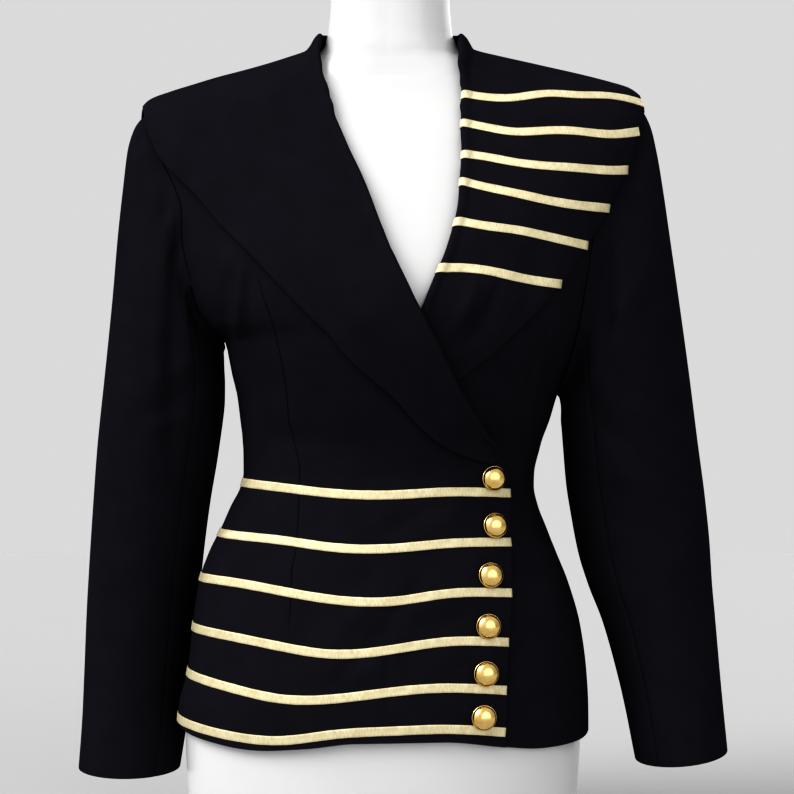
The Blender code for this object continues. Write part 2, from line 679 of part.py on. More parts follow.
def collar_section(side, station):
    """Points across the collar, from its neck seam over the roll to its outer edge."""
    turn, height, edge_turn, edge_height, out, up, lean, roll, lift = station
    seam, normal = cloth_point(side, turn, height)
    edge, _ = cloth_point(side, edge_turn, edge_height)
    width = (edge - seam).length
    near, _ = cloth_point(side, blend(turn, edge_turn, 0.06), blend(height, edge_height, 0.06))
    away = (near - seam).normalized()
    inward = Vector((-seam.x, body.section(height)[4] - seam.y, 0)).normalized()
    stand = Vector((0, 0, up)) + inward * lean - away * roll
    climb = stand.normalized()
    over = (normal - climb * normal.dot(climb)).normalized()
    radius = out / 2
    centre = seam + climb * max(stand.length - radius, 0.0) + over * radius
    hang = centre + over * radius - seam
    points = [seam + normal * COLLAR_STANDOFF]
    for degrees in ROLL_ANGLES:
        angle = math.radians(degrees)
        points.append(centre - over * radius * math.cos(angle) + climb * radius * math.sin(angle))
    shares = [min(distance / width, cap) for distance, cap in FALL_STARTS]
    shares += [blend(shares[-1], 1.0, step / FALL_STEPS) for step in range(1, FALL_STEPS + 1)]
    drop = min(blend(FALL_DROP, SHOULDER_FALL_DROP, smooth((height - 660) / 30)), 0.4 * width)
    for share in shares:
        point, outward = cloth_point(side, blend(turn, edge_turn, share), blend(height, edge_height, share))
        held = 1 - smooth(share * width / drop)
        general = blend(min(lift, 4.2), lift, smooth(share))
        rise = general + (fold_rise(COLLAR_FOLDS, side, point.x, point.z) if point.y < 0 else 0.0)
        carried = max(hang.dot(outward), 0.0) * held
        facing = FORWARD_SHARE * smooth(share) * smooth((SHOULDER_HEIGHT - point.z) / 40)
        lifted = outward.lerp(Vector((0, -1, 0)), facing if point.y < 0 else 0.0)
        points.append(point + hang * held + lifted * max(rise - carried, 0.0))
    return points


def collar_grid(side):
    """Outer points of half a collar; each row is a section, from the tip to the centre back."""
    sign = side_tables(side)[0]
    grid = [collar_section(side, station) for station in collar_stations(side)]
    for point in grid[-1]:
        point.x = sign * SEAM_HALF
    return [line[::sign] for line in grid]


def make_collar(side, material):
    grid = collar_grid(side)
    normals = grid_normals(grid)
    for out in normals[-1]:
        out.x = 0.0
        out.normalize()
    loft(f"{side}_collar", grid, sink(grid, normals, COLLAR_WOOL), material)


# ---------------------------------------------------------------- braids and buttons


def column_place(grid, column, height):
    """Row number, with its fraction, at which a column of a grid passes a height."""
    for row in range(len(grid) - 1):
        low, high = grid[row][column].z, grid[row + 1][column].z
        if low <= height <= high:
            return row + (height - low) / (high - low)
    return None


def column_point(lines, column, place):
    row = min(int(place), len(lines) - 2)
    return lines[row][column].lerp(lines[row + 1][column], place - row)


def make_braid(name, grid, normals, columns, height_at, gap, material):
    """A braid laid on a grid: a flat strip from the grid's own points, moved out."""
    middles = []
    for column in columns:
        x = grid[0][column].x
        for _ in range(6):
            place = column_place(grid, column, height_at(x))
            if place is None:
                break
            x = column_point(grid, column, place).x
        if place is not None:
            middles.append((column, place))
    centres = [column_point(grid, column, place) for column, place in middles]
    lower, upper, out = [], [], []
    for number, (column, place) in enumerate(middles):
        ahead = centres[min(number + 1, len(centres) - 1)] - centres[max(number - 1, 0)]
        up = column_point(grid, column, min(place + 0.2, len(grid) - 1.001)) - centres[number]
        slant = ahead.normalized().dot(up.normalized())
        half = 0.5 * BRAID_WIDTH / math.sqrt(max(1 - slant * slant, 0.25))
        rate = half / up.length * 0.2
        low_place, high_place = max(place - rate, 0), min(place + rate, len(grid) - 1.001)
        lower.append(column_point(grid, column, low_place))
        upper.append(column_point(grid, column, high_place))
        out.append(column_point(normals, column, place).normalized())
    foot = [[p + n * gap for p, n in zip(line, out)] for line in (lower, upper)]
    top = [[p + n * BRAID_THICKNESS for p, n in zip(line, out)] for line in foot]
    loft(name, top, foot, material)


def make_hip_braids(grid, normals, material):
    for number, heights in enumerate(HIP_BRAIDS, start=1):
        height_at = Curve(HIP_PLACES[::-1], heights[::-1])
        columns = range(BODY_COLUMNS + 1)
        make_braid(f"hip_braid_{number}", grid, normals, columns, height_at, BRAID_GAP, material)


def make_collar_braids(material):
    front = len(LEFT_COLLAR) + 1
    grid = collar_grid("left")
    normals = grid_normals(grid)[:front]
    grid = grid[:front]
    columns = range(1, len(grid[0]))
    for number, heights in enumerate(COLLAR_BRAIDS, start=1):
        height_at = Curve(COLLAR_PLACES, heights)
        name = f"collar_braid_{number}"
        make_braid(name, grid, normals, columns, height_at, COLLAR_BRAID_GAP, material)


def turned(name, profile, centre, axis, material):
    """A solid turned from a profile about an axis; the profile starts and ends on the axis."""
    side = axis.orthogonal().normalized()
    other = axis.cross(side)
    points = [centre + axis * profile[0][1]]
    for radius, height in profile[1:-1]:
        for step in range(BUTTON_SIDES):
            angle = 2 * math.pi * step / BUTTON_SIDES
            spoke = side * math.cos(angle) + other * math.sin(angle)
            points.append(centre + axis * height + spoke * radius)
    points.append(centre + axis * profile[-1][1])
    last = len(points) - 1
    rings = len(profile) - 2
    faces = []
    for step in range(BUTTON_SIDES):
        after = (step + 1) % BUTTON_SIDES
        faces.append([0, 1 + step, 1 + after])
        for ring in range(rings - 1):
            base, below = 1 + ring * BUTTON_SIDES, 1 + (ring + 1) * BUTTON_SIDES
            faces.append([base + step, below + step, below + after, base + after])
        base = 1 + (rings - 1) * BUTTON_SIDES
        faces.append([base + after, base + step, last])
    return make_object(name, points, faces, material)


def make_buttons(material):
    """Domed buttons, each on a short shank that stands on the cloth."""
    shank = [(SHANK_RADIUS, BUTTON_PROFILE[-1][1]), (SHANK_RADIUS, SHANK_FOOT), (0.0, SHANK_FOOT)]
    profile = BUTTON_PROFILE[:-1] + shank
    for number, (x, height) in enumerate(BUTTONS, start=1):
        turn = body.turn_at(x, height)
        centre, normal = cloth_point("right", turn, height)
        axis = Vector((0, -1, 0)).lerp(normal, BUTTON_TURN).normalized()
        lift = SHANK_RADIUS * math.sqrt(1 - axis.dot(normal) ** 2)
        turned(f"button_{number}", profile, centre + normal * lift, axis, material)


# ---------------------------------------------------------------- the form

FORM_SIDES = 24


def make_form(material):
    """The torso form: one smooth closed solid with a flat base and a capped neck."""
    heights = [row[0] for row in FORM]
    points, faces = [], []
    for height in heights:
        for step in range(FORM_SIDES):
            points.append(form.point(360.0 * step / FORM_SIDES, height))
    for row in range(len(heights) - 1):
        for step in range(FORM_SIDES):
            after = (step + 1) % FORM_SIDES
            low, high = row * FORM_SIDES, (row + 1) * FORM_SIDES
            faces.append([low + step, low + after, high + after, high + step])
    top = (len(heights) - 1) * FORM_SIDES
    faces.append([top + step for step in range(FORM_SIDES)])
    faces.append([step for step in reversed(range(FORM_SIDES))])
    make_object("dress_form", points, faces, material)


# ---------------------------------------------------------------- the object

for old in list(bpy.data.objects):
    bpy.data.objects.remove(old, do_unlink=True)
garment = bpy.data.collections.new("military_style_blazer")
bpy.context.scene.collection.children.link(garment)


def main():
    wool = make_material("black wool", BLACK_WOOL)
    right, right_out = front_grid("right")
    make_body_panel("right_front", right, right_out, wool)
    left, left_out = front_grid("left")
    make_body_panel("left_front", left, left_out, wool)
    for side in ("right", "left"):
        back, back_out = back_grid(side)
        make_body_panel(f"{side}_back", back, back_out, wool)
        make_sleeve(side, wool)
        make_collar(side, wool)
    braid = make_material("gold braid", GOLD_BRAID)
    make_hip_braids(right, right_out, braid)
    make_collar_braids(braid)
    make_buttons(make_material("gold metal", GOLD_METAL))
    make_form(make_material("white gloss", WHITE_GLOSS))


main()
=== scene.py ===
"""The looks of a military-style blazer worn by a limbless dress form.

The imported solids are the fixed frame. Each cloth wall is replaced by a finer one on the same
surface, with its seams, darts and creases; the braids, buttons and the form are made finer too,
and every surface gets a material worked out from nodes.

Sizes are in millimetres and become metres as each mesh is made. +Z is up, the front faces -Y, the
wearer's left is +X, and the origin is the middle of the form's flat base.
"""

import math
from bisect import bisect

import bpy
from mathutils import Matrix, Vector


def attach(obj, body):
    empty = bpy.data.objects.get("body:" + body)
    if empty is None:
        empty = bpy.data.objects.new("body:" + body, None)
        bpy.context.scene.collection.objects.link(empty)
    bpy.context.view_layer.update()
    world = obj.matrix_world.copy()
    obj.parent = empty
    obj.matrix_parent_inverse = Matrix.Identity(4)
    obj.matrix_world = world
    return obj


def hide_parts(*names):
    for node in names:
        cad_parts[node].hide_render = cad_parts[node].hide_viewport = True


MM = 0.001
SIGN = {"right": -1, "left": 1}  # the way along x to each of the wearer's sides

# Cloth and trim
WOOL = 1.6  # thickness of the body and sleeve cloth
COLLAR_WOOL = 1.4  # thickness of the collar cloth
EDGE_ROUND = 0.5  # radius of a folded cloth edge
SEAM_HALF = 0.1  # each edge stands back this far from its seam line
SLEEVE_SEAM_HALF = 0.12
SEAM_NEAR = 0.001  # a column within this turn of a side seam, in degrees, lies on it
SEAM_DIP = 0.5  # how far the cloth sinks into a seam
SEAM_REACH = 3.0  # how far from the seam it starts to sink
ARMHOLE_GAP = 0.4  # between a body edge and the sleeve sewn to it
LAP_DEPTH = 3.0  # how far the left front lies below the right front
LAP_SIDE = (112, 146)  # it comes back up between these x
LAP_TOP = (494, 530)  # and between these heights
COLLAR_STANDOFF = 0.4  # between the neck edge and the collar sewn on it
ROLL_WIDTH = 5.2  # across the fold where the collar turns over, at the back of the neck
BRAID_WIDTH = 7.8
BRAID_LIFT = 0.15  # between a braid and the cloth below it
BRAID_THICKNESS = 0.75
BRAID_HOOK = 3.0  # a collar braid dips by this much where it goes in over the roll
NECK_HEIGHT = 691.0  # where the neck seam passes the shoulder seam

SEARCH_ROUNDS = 8  # rounds in which a search closes in on a place
SPLINE_ROUNDS = 40

# How finely the walls are worked out
ROW_STEPS = 8  # rows for each row of a table
FRONT_COLUMNS = {"right": (100, 34), "left": (76, 30)}  # before and after the dart
BACK_COLUMNS = (34, 34)
EDGE_COLUMNS = (0.0, 0.9, 2.4)  # columns beside an edge, in mm from it
SLEEVE_STEPS = 8
SLEEVE_SIDES = 120
SIDE_FADE = 0.35  # a sleeve's creases fade where it faces forward or back by less than this
COLLAR_STEPS = 7
FALL_COLUMNS = 46
WIDTH_STEPS = 8  # steps in which the width of a row is measured

# The body's outer surface: a row for each level section.
# height, right half, left half, front depth, back depth, middle y, squareness
BODY = [
    (60, 186.5, 174.5, 111, 123, 2, 2.2),
    (92, 186.0, 173.5, 112, 124, 2, 2.2),
    (120, 184.5, 173.2, 112, 125, 2, 2.2),
    (150, 177.0, 171.5, 110, 124, 2, 2.2),
    (190, 172.5, 166.0, 106, 118, 2, 2.2),
    (227, 167.0, 155.5, 101, 108, 1, 2.15),
    (253, 158.0, 145.0, 96, 100, 0, 2.1),
    (275, 147.0, 136.5, 92, 93, 0, 2.1),
    (293, 139.0, 129.5, 89, 88, 0, 2.1),
    (310, 130.5, 126.0, 87, 84, 0, 2.1),
    (322, 128.0, 126.5, 86, 82, 0, 2.1),
    (345, 128.2, 131.2, 89, 82, 0, 2.1),
    (366, 130.5, 139.0, 95, 83, 0, 2.15),
    (390, 133.5, 146.0, 103, 86, 0, 2.2),
    (420, 140.0, 160.0, 112, 90, 0, 2.25),
    (438, 143.6, 168.0, 116, 93, 0, 2.3),
    (452, 163.0, 173.0, 118, 95, 0, 2.3),
    (470, 175.0, 178.0, 119, 97, 0, 2.3),
    (500, 186.0, 186.0, 114, 99, 0, 2.3),
    (530, 194.0, 194.0, 104, 100, 1, 2.3),
    (560, 203.0, 204.0, 93, 99, 2, 2.25),
    (590, 213.0, 214.0, 80, 96, 3, 2.2),
    (610, 217.0, 219.0, 72, 92, 4, 2.1),
    (626, 214.5, 218.5, 66, 87, 5, 2.05),
    (634, 211.5, 216.0, 63, 83, 5, 1.95),
    (640, 207.5, 214.0, 61, 80, 6, 1.9),
    (648, 189.0, 206.5, 58, 76, 6, 1.8),
    (654, 172.0, 190.5, 56, 73, 6, 1.75),
    (662, 149.0, 165.0, 54, 69, 6, 1.75),
    (668, 129.0, 144.5, 53, 67, 6, 1.75),
    (674.5, 108.0, 121.5, 52.5, 64, 6, 1.8),
    (680.5, 90.0, 98.5, 52.5, 62, 6, 1.85),
    (686, 74.0, 77.0, 53, 61, 5.5, 1.9),
    (691, 64.5, 65.0, 54, 60, 5, 2.0),
]

# The form under the cloth: the same columns, from its base to the top of its neck.
FORM = [
    (0, 174.0, 161.0, 99, 110, 2, 2.2),
    (40, 176.0, 163.0, 102, 113, 2, 2.2),
    (92, 178.5, 166.0, 104, 116, 2, 2.2),
    (125, 176.5, 166.0, 104, 117, 2, 2.2),
    (190, 165.0, 158.0, 98, 110, 2, 2.2),
    (253, 149.0, 137.0, 88, 92, 0, 2.1),
    (293, 131.0, 121.5, 81, 80, 0, 2.1),
    (322, 118.5, 118.0, 78, 74, 0, 2.1),
    (345, 118.8, 121.3, 81, 74, 0, 2.1),
    (390, 124.6, 136.0, 95, 78, 0, 2.2),
    (438, 135.0, 141.0, 108, 85, 0, 2.3),
    (470, 146.0, 150.0, 111, 89, 0, 2.3),
    (500, 156.0, 160.0, 107, 92, 0, 2.3),
    (530, 164.0, 166.0, 98, 94, 1, 2.3),
    (560, 169.0, 171.0, 87.5, 94, 2, 2.25),
    (590, 173.0, 175.0, 75.5, 91, 3, 2.2),
    (620, 176.0, 178.0, 63.5, 84, 4, 2.1),
    (640, 175.0, 178.0, 56, 75, 6, 1.9),
    (652, 155.0, 173.0, 51.5, 68, 6, 1.8),
    (662, 132.5, 156.5, 49, 63, 6, 1.75),
    (668, 111.0, 131.0, 48, 61, 6, 1.75),
    (674.5, 91.5, 107.0, 47.5, 59, 6, 1.8),
    (680.5, 77.0, 84.5, 47, 57, 6, 1.85),
    (686, 65.5, 66.8, 46.5, 55, 5.5, 1.9),
    (693, 58.5, 59.4, 46, 54, 5, 2.0),
    (706, 54.5, 54.5, 45, 52, 5, 2.0),
    (735, 52.0, 52.0, 44, 51, 5, 2.0),
    (756, 51.5, 51.5, 43.5, 50.5, 5, 2.0),
    (761, 49.5, 49.5, 42, 48.5, 5, 2.0),
    (763, 46.0, 46.0, 39, 45, 5, 2.0),
]

# The hem: turn round the body in degrees (0 centre front, 90 the wearer's left side), height
HEM = [
    (-180, 100), (-90, 105), (-57, 97), (-35, 92), (-20, 95), (-7, 100), (13, 101),
    (32, 95), (45, 92), (67, 94), (90, 99), (180, 100),
]

# Where a sleeve joins the body, seen from the front: height, half width
ARMHOLE = {
    "right": [
        (438, 143.6), (444, 150), (451, 158.5), (470, 168), (486, 170.5), (501, 174), (523, 178),
        (549, 178.5), (566, 184), (589, 195), (606, 203), (625, 208.5), (640, 207.5),
    ],
    "left": [
        (390, 146), (396, 147), (409, 151), (427, 157), (451, 162), (482, 167), (507, 171),
        (530, 174.5), (560, 183), (590, 196), (612, 205), (630, 209.5), (640, 210.5), (646, 208.5),
    ],
}

# The closing edge of the right front: height, x
CLOSING_EDGE = [(95, 97), (107, 97), (142, 98), (182, 100), (222, 103), (307, 103), (322, 101)]
LEFT_EDGE_X = -5.0  # the hidden edge of the left front
LEFT_TOP_ROW = (350, 335)  # heights of that edge's last row at the edge and at the side seam

# Level rows below the collar, above the hem
LOWER_ROWS = (125, 155, 190, 225, 262, 293, 318)

# The fronts' rows beside the collar. Each row runs from the neck edge, where the collar is sewn
# on, out to the side seam, armhole or shoulder seam. Each is also a section of the collar, which
# stands out, up and leaning in from the neck edge, rolls over and falls to its outer edge.
# neck x, neck height, edge x, edge height, stand out, stand up, lean in, roll, edge lift
COLLAR = {
    "right": [
        (94, 339, 87, 331, 4.4, 0, 0, 2.0, 3.2),
        (86, 348, 69, 336, 5.2, 0, 0, 2.6, 3.6),
        (77, 359, 52, 343, 5.7, 0, 0, 2.8, 3.9),
        (61, 384, 27, 362, 6.0, 0, 0, 3.0, 4.2),
        (42, 422, -5, 396, 6.0, 0, 0, 3.0, 4.2),
        (23, 459, -38, 426, 6.0, 0, 0, 3.0, 4.2),
        (6, 493, -67, 456, 6.0, 0, 0, 3.0, 4.2),
        (-9, 528, -98, 488, 6.0, 0, 0, 3.0, 4.4),
        (-19, 555, -120, 511, 6.0, 0, 0, 3.0, 4.6),
        (-30, 581, -141, 532, 6.0, 0, 0, 3.0, 5.2),
        (-42, 608, -162, 557, 6.0, 0, 0, 3.0, 6.6),
        (-52, 638, -182, 577, 6.0, 0.5, 0, 3.0, 8.4),
        (-57, 655, -197, 594, 6.0, 2, 0, 3.0, 10.0),
        (-61.5, 670, -205, 610, 6.0, 5, 1, 3.0, 9.0),
        (-63.5, 683, -209, 622, 5.4, 9, 2.5, 3.0, 8.8),
        (-63.4, 691, -209, 631, 4.8, 12, 3, 2.6, 9.0),
    ],
    "left": [
        (0, 379, 9, 370, 4.6, 0, 0, 2.2, 3.2),
        (6, 402, 30, 385, 4.8, 0, 0, 2.4, 3.4),
        (16, 430, 55, 399, 5.0, 0, 0, 2.4, 3.6),
        (29, 461, 86, 423, 5.4, 0, 0, 2.6, 3.8),
        (39, 485, 110, 445, 6.0, 0, 0, 3.0, 4.2),
        (48, 506, 130, 466, 6.0, 0, 0, 3.0, 4.4),
        (55, 528, 152, 494, 6.0, 0, 0, 3.0, 4.6),
        (60, 552, 170, 521, 6.0, 0, 0, 3.0, 5.6),
        (62, 577, 184, 545, 6.0, 0, 0, 3.0, 9.5),
        (63, 602, 197, 570, 6.0, 0, 0, 3.0, 12.0),
        (63, 625, 206, 592, 6.0, 0.5, 0, 3.0, 12.5),
        (63, 645, 211, 610, 6.2, 2, 0, 2.6, 12.0),
        (62, 660, 213, 623, 6.8, 4, 0.5, 2.4, 11.5),
        (60.5, 672, 213, 633, 7.6, 6.0, 1, 2.2, 11.0),
        (61, 683, 212, 639, 6.6, 8.5, 2, 2.2, 11.0),
        (63.6, 691, 210.5, 643, 5.0, 12, 2.5, 2.6, 11.4),
    ],
}
# The collar round the back of the neck, from the shoulder seam to the centre back at even turns:
# edge height, stand up, lean in
BACK_COLLAR = [
    (640, 12.5, 4.5), (624, 13.5, 4.5), (606, 15, 4.5), (591, 16.5, 4.5), (582, 18, 4.5),
    (575, 19.5, 4.5), (570, 20.5, 4.5), (567, 21, 4.5), (566, 21.5, 4.5),
]
FORWARD_SHARE = 0.85  # how far the lift of the outer edge turns from off the cloth to forward
SHOULDER_HEIGHT = 645.0
FORWARD_REACH = 40.0  # that turn is full this far below the shoulder
SHOULDER_DROP = 2.0  # the edge crosses the shoulder seam this far below the armhole's top
BACK_LIFT = 5.5  # how far the edge stands off the back
EDGE_SETTLES = 4  # sections over which the edge's height changes to the back's own
LIFT_SETTLES = 7  # and over which its lift does
# Heights of the rows at the side seam, below the armhole, and on the shoulder seam above it
SIDE_ROWS = {"right": (333, 385), "left": (352, 371)}
SHOULDER_STEPS = 3

FALL_DROP = 12.0  # the fall has come down to the chest this far from the roll
SHOULDER_FALL_DROP = 20.0
FALL_CHANGE = (660, 690)  # heights of the neck edge between which the first becomes the second
FALL_SHARE = 0.4  # the most of the collar's width that the drop takes
FALL_SPREAD = 1.35  # columns of the fall lie closer together near the roll
FALL_LIFT = 4.2  # the most that the fall is lifted where it starts
NEAR_SHARE = 0.06  # a place this share of the way to the edge gives the fall's direction

# The right front rides over the left collar where the collars cross: centre x and height, flat
# radius, outer radius and rise.
CROSSING = (30, 420, 48, 112, 5.5)

# A sleeve, from the armhole to the cuff:
# inner x, inner height, outer x, outer height, middle y, half depth, dip of the front
SLEEVE = {
    "right": [
        (143.6, 438, 207.5, 640, 6, 46, 0),
        (145.0, 435, 215, 634.5, 6, 45.5, 0),
        (145.6, 431, 222.5, 626.5, 6, 46.5, 0),
        (145.6, 427, 229, 608, 6, 49.5, 0),
        (145.5, 421, 234, 570, 7, 55, 0),
        (145.5, 413, 238.5, 530, 8, 58, 0),
        (145.2, 402, 243.5, 475, 10, 58, 0),
        (145.6, 384, 251, 405, 13, 57, 0),
        (152, 338, 258.6, 342, 22, 55, 0),
        (160, 293, 263, 295, 30, 53, 0),
        (166.5, 245, 267, 245, 36, 51.5, 0),
        (171.5, 196, 270.5, 196, 42, 50, 0),
        (176.8, 146, 273, 146, 46, 48, 0),
        (182, 97, 275.5, 97, 48, 46, 1),
        (188, 58, 278.5, 58, 48, 44, 5),
    ],
    "left": [
        (146, 390, 209.5, 646, 6, 46, 0),
        (148.3, 387, 219, 642, 6, 45.5, 0),
        (149.2, 383, 227, 629, 6, 46.5, 0),
        (149.8, 379, 233, 605, 6, 50.5, 0),
        (150, 374, 239.3, 568, 6, 55, 0),
        (150, 368, 245, 530, 7, 59.5, 0),
        (151, 358, 252.2, 482, 9, 60, 0),
        (152.5, 342, 262.2, 412, 12, 60, 0),
        (155.3, 312, 270.8, 348, 16, 59, 0),
        (160, 283, 277.5, 300, 19, 57.5, 0),
        (166.5, 250, 282, 256, 20, 56, 0),
        (175.5, 221, 283.7, 224, 18, 53, 0),
        (187.5, 190, 286, 196, 16, 49.5, 0),
        (203.8, 128, 290.5, 134, 8, 44.5, 1),
        (214.8, 71.5, 295.2, 80, 2, 41.5, 5),
    ],
}
# Ring points between the seams of a sleeve, counted from the underarm
FRONT_SLEEVE_SEAM = 3
BACK_SLEEVE_SEAM = 16

# Braids on the right hip: heights at the x in HIP_PLACES
HIP_PLACES = (103, 46, 5, -48, -90, -130, -185)
HIP_BRAIDS = [
    (306, 308, 306, 307, 311, 314, 316),
    (265, 265, 261.5, 262, 267, 269.5, 272),
    (223, 223.5, 218, 219, 225, 230.5, 232),
    (182, 184, 178.5, 174, 179, 185, 190),
    (142, 146, 143.5, 137, 136, 142, 151),
    (107, 112, 111, 107.5, 101.5, 102.5, 110),
]
# Braids on the left collar: heights at the x in COLLAR_PLACES
COLLAR_PLACES = (60, 80, 105, 135, 160, 190, 220)
COLLAR_BRAIDS = [
    (647, 644, 643.5, 648, 647.5, 648, 644),
    (621, 617, 613, 614.5, 614.5, 613, 619),
    (593, 590.5, 586, 583, 582, 581.5, 586),
    (569, 564, 559, 553, 550, 549, 549),
    (534, 530.5, 527.5, 522, 517.5, 514, 514),
    (495, 493, 488, 483.5, 482, 482, 482),
]

# Buttons: x, height
BUTTONS = [(87, 319), (88, 279), (84, 238), (82, 196), (80, 157), (78, 121)]
BUTTON_TURN = 0.55  # how far a button turns from facing forward to lying flat on the cloth
SHANK_RADIUS = 3.0
SHANK_FOOT = 0.5  # from the cloth to the foot of a shank

# The largest soft folds, by side: x and height of each end, half width, rise (below zero, a
# trough)
BODY_FOLDS = {
    "right": [
        (-122, 500, -128, 400, 8, 2.2), (-30, 250, 60, 292, 11, 1.2), (-20, 196, 70, 228, 12, 1.4),
        (-70, 150, 20, 196, 14, 1.2),
    ],
    "left": [
        (128, 420, 116, 350, 9, 1.6),
    ],
}
COLLAR_FOLDS = {
    "left": [
        (78, 400, 128, 470, 9, 2.0), (96, 404, 150, 478, 8, -1.2), (60, 452, 118, 520, 12, 1.6),
    ],
    "right": [
        (-20, 440, -100, 545, 16, 1.4),
    ],
}

# How much of the armhole's own shape the first rings keep
ARMHOLE_HOLD = (1.0, 0.97, 0.88, 0.74, 0.55, 0.35, 0.15)
ARM_STEPS = 10  # table rows from the underarm up to the shoulder

# Finer creases than the main folds, by panel: x and height of each end, bow of its middle, half
# width, rise (below zero, a trough)
CREASES = {
    "right_front": [
        (-135, 504, -140, 440, 1, 5, -2.4), (-125, 514, -131, 420, -2, 4, 2.8),
        (-147, 454, -147, 424, 0, 5, 2.0), (-115, 504, -121, 432, 2, 6, -2.0),
        (-150, 530, -126, 470, 2, 5, -1.0), (-60, 262, 8, 300, 6, 9, 1.2),
        (-10, 268, 62, 300, -5, 7, -1.1), (-38, 206, 30, 252, 7, 9, 1.2),
        (6, 196, 84, 214, 4, 8, -0.7), (-42, 150, 22, 204, 8, 9, 1.1),
        (-3, 100, -3, 212, 1, 3, -0.9), (-66, 134, 36, 250, 6, 7, -1.6),
        (-78, 152, 8, 262, 6, 9, 1.4), (20, 152, 70, 176, -4, 8, 0.6),
        (-120, 392, -60, 372, 6, 9, 0.7), (-118, 352, -40, 342, -6, 8, -0.8),
        (-90, 330, 30, 336, 5, 8, 0.6),
    ],
    "left_front": [
        (122, 352, 60, 330, 5, 8, -0.7), (124, 372, 84, 362, 4, 7, 0.8),
        (150, 452, 138, 400, -4, 8, -0.9),
    ],
    "left_collar": [
        (70, 388, 104, 440, 4, 6, -0.8), (48, 432, 74, 500, 3, 6, 2.6),
        (60, 424, 94, 496, 3, 5, -2.8), (78, 424, 112, 486, 3, 8, 1.6),
        (118, 450, 168, 520, -5, 8, 1.0), (88, 560, 170, 596, 6, 14, 0.8),
        (84, 640, 190, 640, -5, 14, 0.6),
    ],
    "right_collar": [
        (-60, 560, -150, 596, 6, 16, 1.0), (-84, 640, -186, 622, -6, 16, 0.8),
        (10, 420, 62, 362, 4, 10, 0.7),
    ],
    "right_sleeve_front": [
        (-220, 634, -215, 600, 3, 5, -2.2), (-213, 592, -210, 540, 3, 7, -1.6),
        (-193, 572, -197, 530, -2, 4.5, -2.6), (-187, 548, -190, 500, -2, 4, 1.4),
        (-181, 506, -184, 300, 5, 9, -4.2), (-168, 486, -158, 440, -2, 4, 2.2),
        (-150, 456, -148, 424, 0, 6, 3.0), (-196, 470, -184, 380, 8, 9, 1.8),
        (-158, 430, -214, 402, -7, 8, 1.6), (-160, 404, -226, 366, -6, 7, -1.8),
        (-164, 372, -222, 348, 6, 8, 1.4), (-232, 340, -182, 300, 6, 9, -1.2),
        (-238, 250, -196, 206, -6, 10, 1.1),
    ],
    "left_sleeve_front": [
        (210, 612, 200, 560, -4, 6, -2.2), (184, 548, 178, 400, -4, 9, -5.0),
        (190, 560, 196, 500, 5, 8, 1.6), (166, 470, 206, 420, -6, 8, -1.8),
        (160, 420, 226, 372, 8, 9, 1.8), (166, 382, 238, 330, 7, 7, -1.8),
        (172, 330, 244, 296, -6, 9, 1.6), (182, 292, 246, 268, 5, 7, -1.4),
        (262, 250, 214, 214, 6, 10, 1.2), (238, 186, 270, 140, -5, 10, -1.0),
    ],
    "right_sleeve_back": [
        (-214, 610, -204, 556, 4, 6, -1.5), (-160, 420, -228, 396, 7, 9, 1.4),
        (-166, 392, -234, 352, -6, 7, -1.6), (-172, 340, -240, 322, 5, 9, 1.2),
        (-190, 230, -246, 196, 6, 10, -1.0),
    ],
    "left_sleeve_back": [
        (206, 606, 198, 552, -4, 6, -1.5), (162, 404, 232, 366, -7, 8, 1.5),
        (170, 362, 244, 318, 6, 7, -1.6), (184, 300, 256, 276, -6, 9, 1.3),
        (214, 190, 268, 168, 5, 10, -1.0),
    ],
    "back": [
        (-150, 360, -60, 336, 6, 9, 0.9), (-140, 332, -30, 322, -6, 8, -0.9),
        (148, 350, 50, 330, -6, 9, 0.9), (138, 322, 36, 318, 5, 8, -0.8),
        (-170, 470, -120, 520, 6, 10, 1.0), (172, 450, 124, 506, -6, 10, 1.0),
    ],
}
CREASE_END = 0.35  # share of a crease's length over which each end fades

# Darts, each a stitched line up a panel: height, x
DARTS = {
    "right_front": [
        (185, -85), (213, -83), (243, -82), (258, -79), (324, -76), (350, -81), (369, -85),
        (387, -86), (419, -91), (447, -97), (474, -106), (499, -112)],
    "left_front": [(330, 112), (374, 114), (389, 116), (406, 118), (424, 124), (445, 132), (464, 138)],
    "right_back": [(190, -84), (250, -80), (320, -72), (390, -82), (480, -98)],
    "left_back": [(190, 84), (250, 80), (320, 72), (390, 82), (480, 98)],
}
DART_DEPTH = 0.9
DART_HALF = 0.45  # half width of the line where the cloth is pulled in
DART_PUFF = 0.35  # how far the cloth beside it rises
PUFF_PLACE = 5.0  # from the line to the top of the puff
PUFF_HALF = 3.5
DART_REACH = 16.0  # beyond this the dart leaves the cloth as it was
DART_TAPER = 25.0  # the dart fades over this height at both of its ends
DART_SHARES = (0.08, 0.92)  # a dart crosses its rows between these shares of their width
DART_COLUMNS = (-3.0, -1.3, -0.7, -0.35, 0.0, 0.35, 0.7, 1.3, 3.0)  # in mm from the dart

# Steps across the collar's stand and round its turn-over
LEG_STEPS = 4
ROLL_STEPS = 12
HIP_BRAID_STEPS = 170
BRAID_SIDE = -89.9  # turn at which a hip braid starts, at the side seam
BRAID_FRONT = (100, 0.3)  # it ends near this x, this far in from the closing edge
# A braid's width wavers: share of the width, waves for each mm in radians, start
BRAID_WAVER = [(0.018, 0.21, 0.0), (0.012, 0.53, 1.0)]
# Across a braid, from its lower to its upper edge: share of the half width, of the thickness
BRAID_SECTION = [
    (-1.0, 0.2), (-0.985, 0.7), (-0.93, 0.94), (-0.6, 1.0), (-0.2, 0.96), (0.2, 0.96), (0.6, 1.0),
    (0.93, 0.94), (0.985, 0.7), (1.0, 0.2),
]

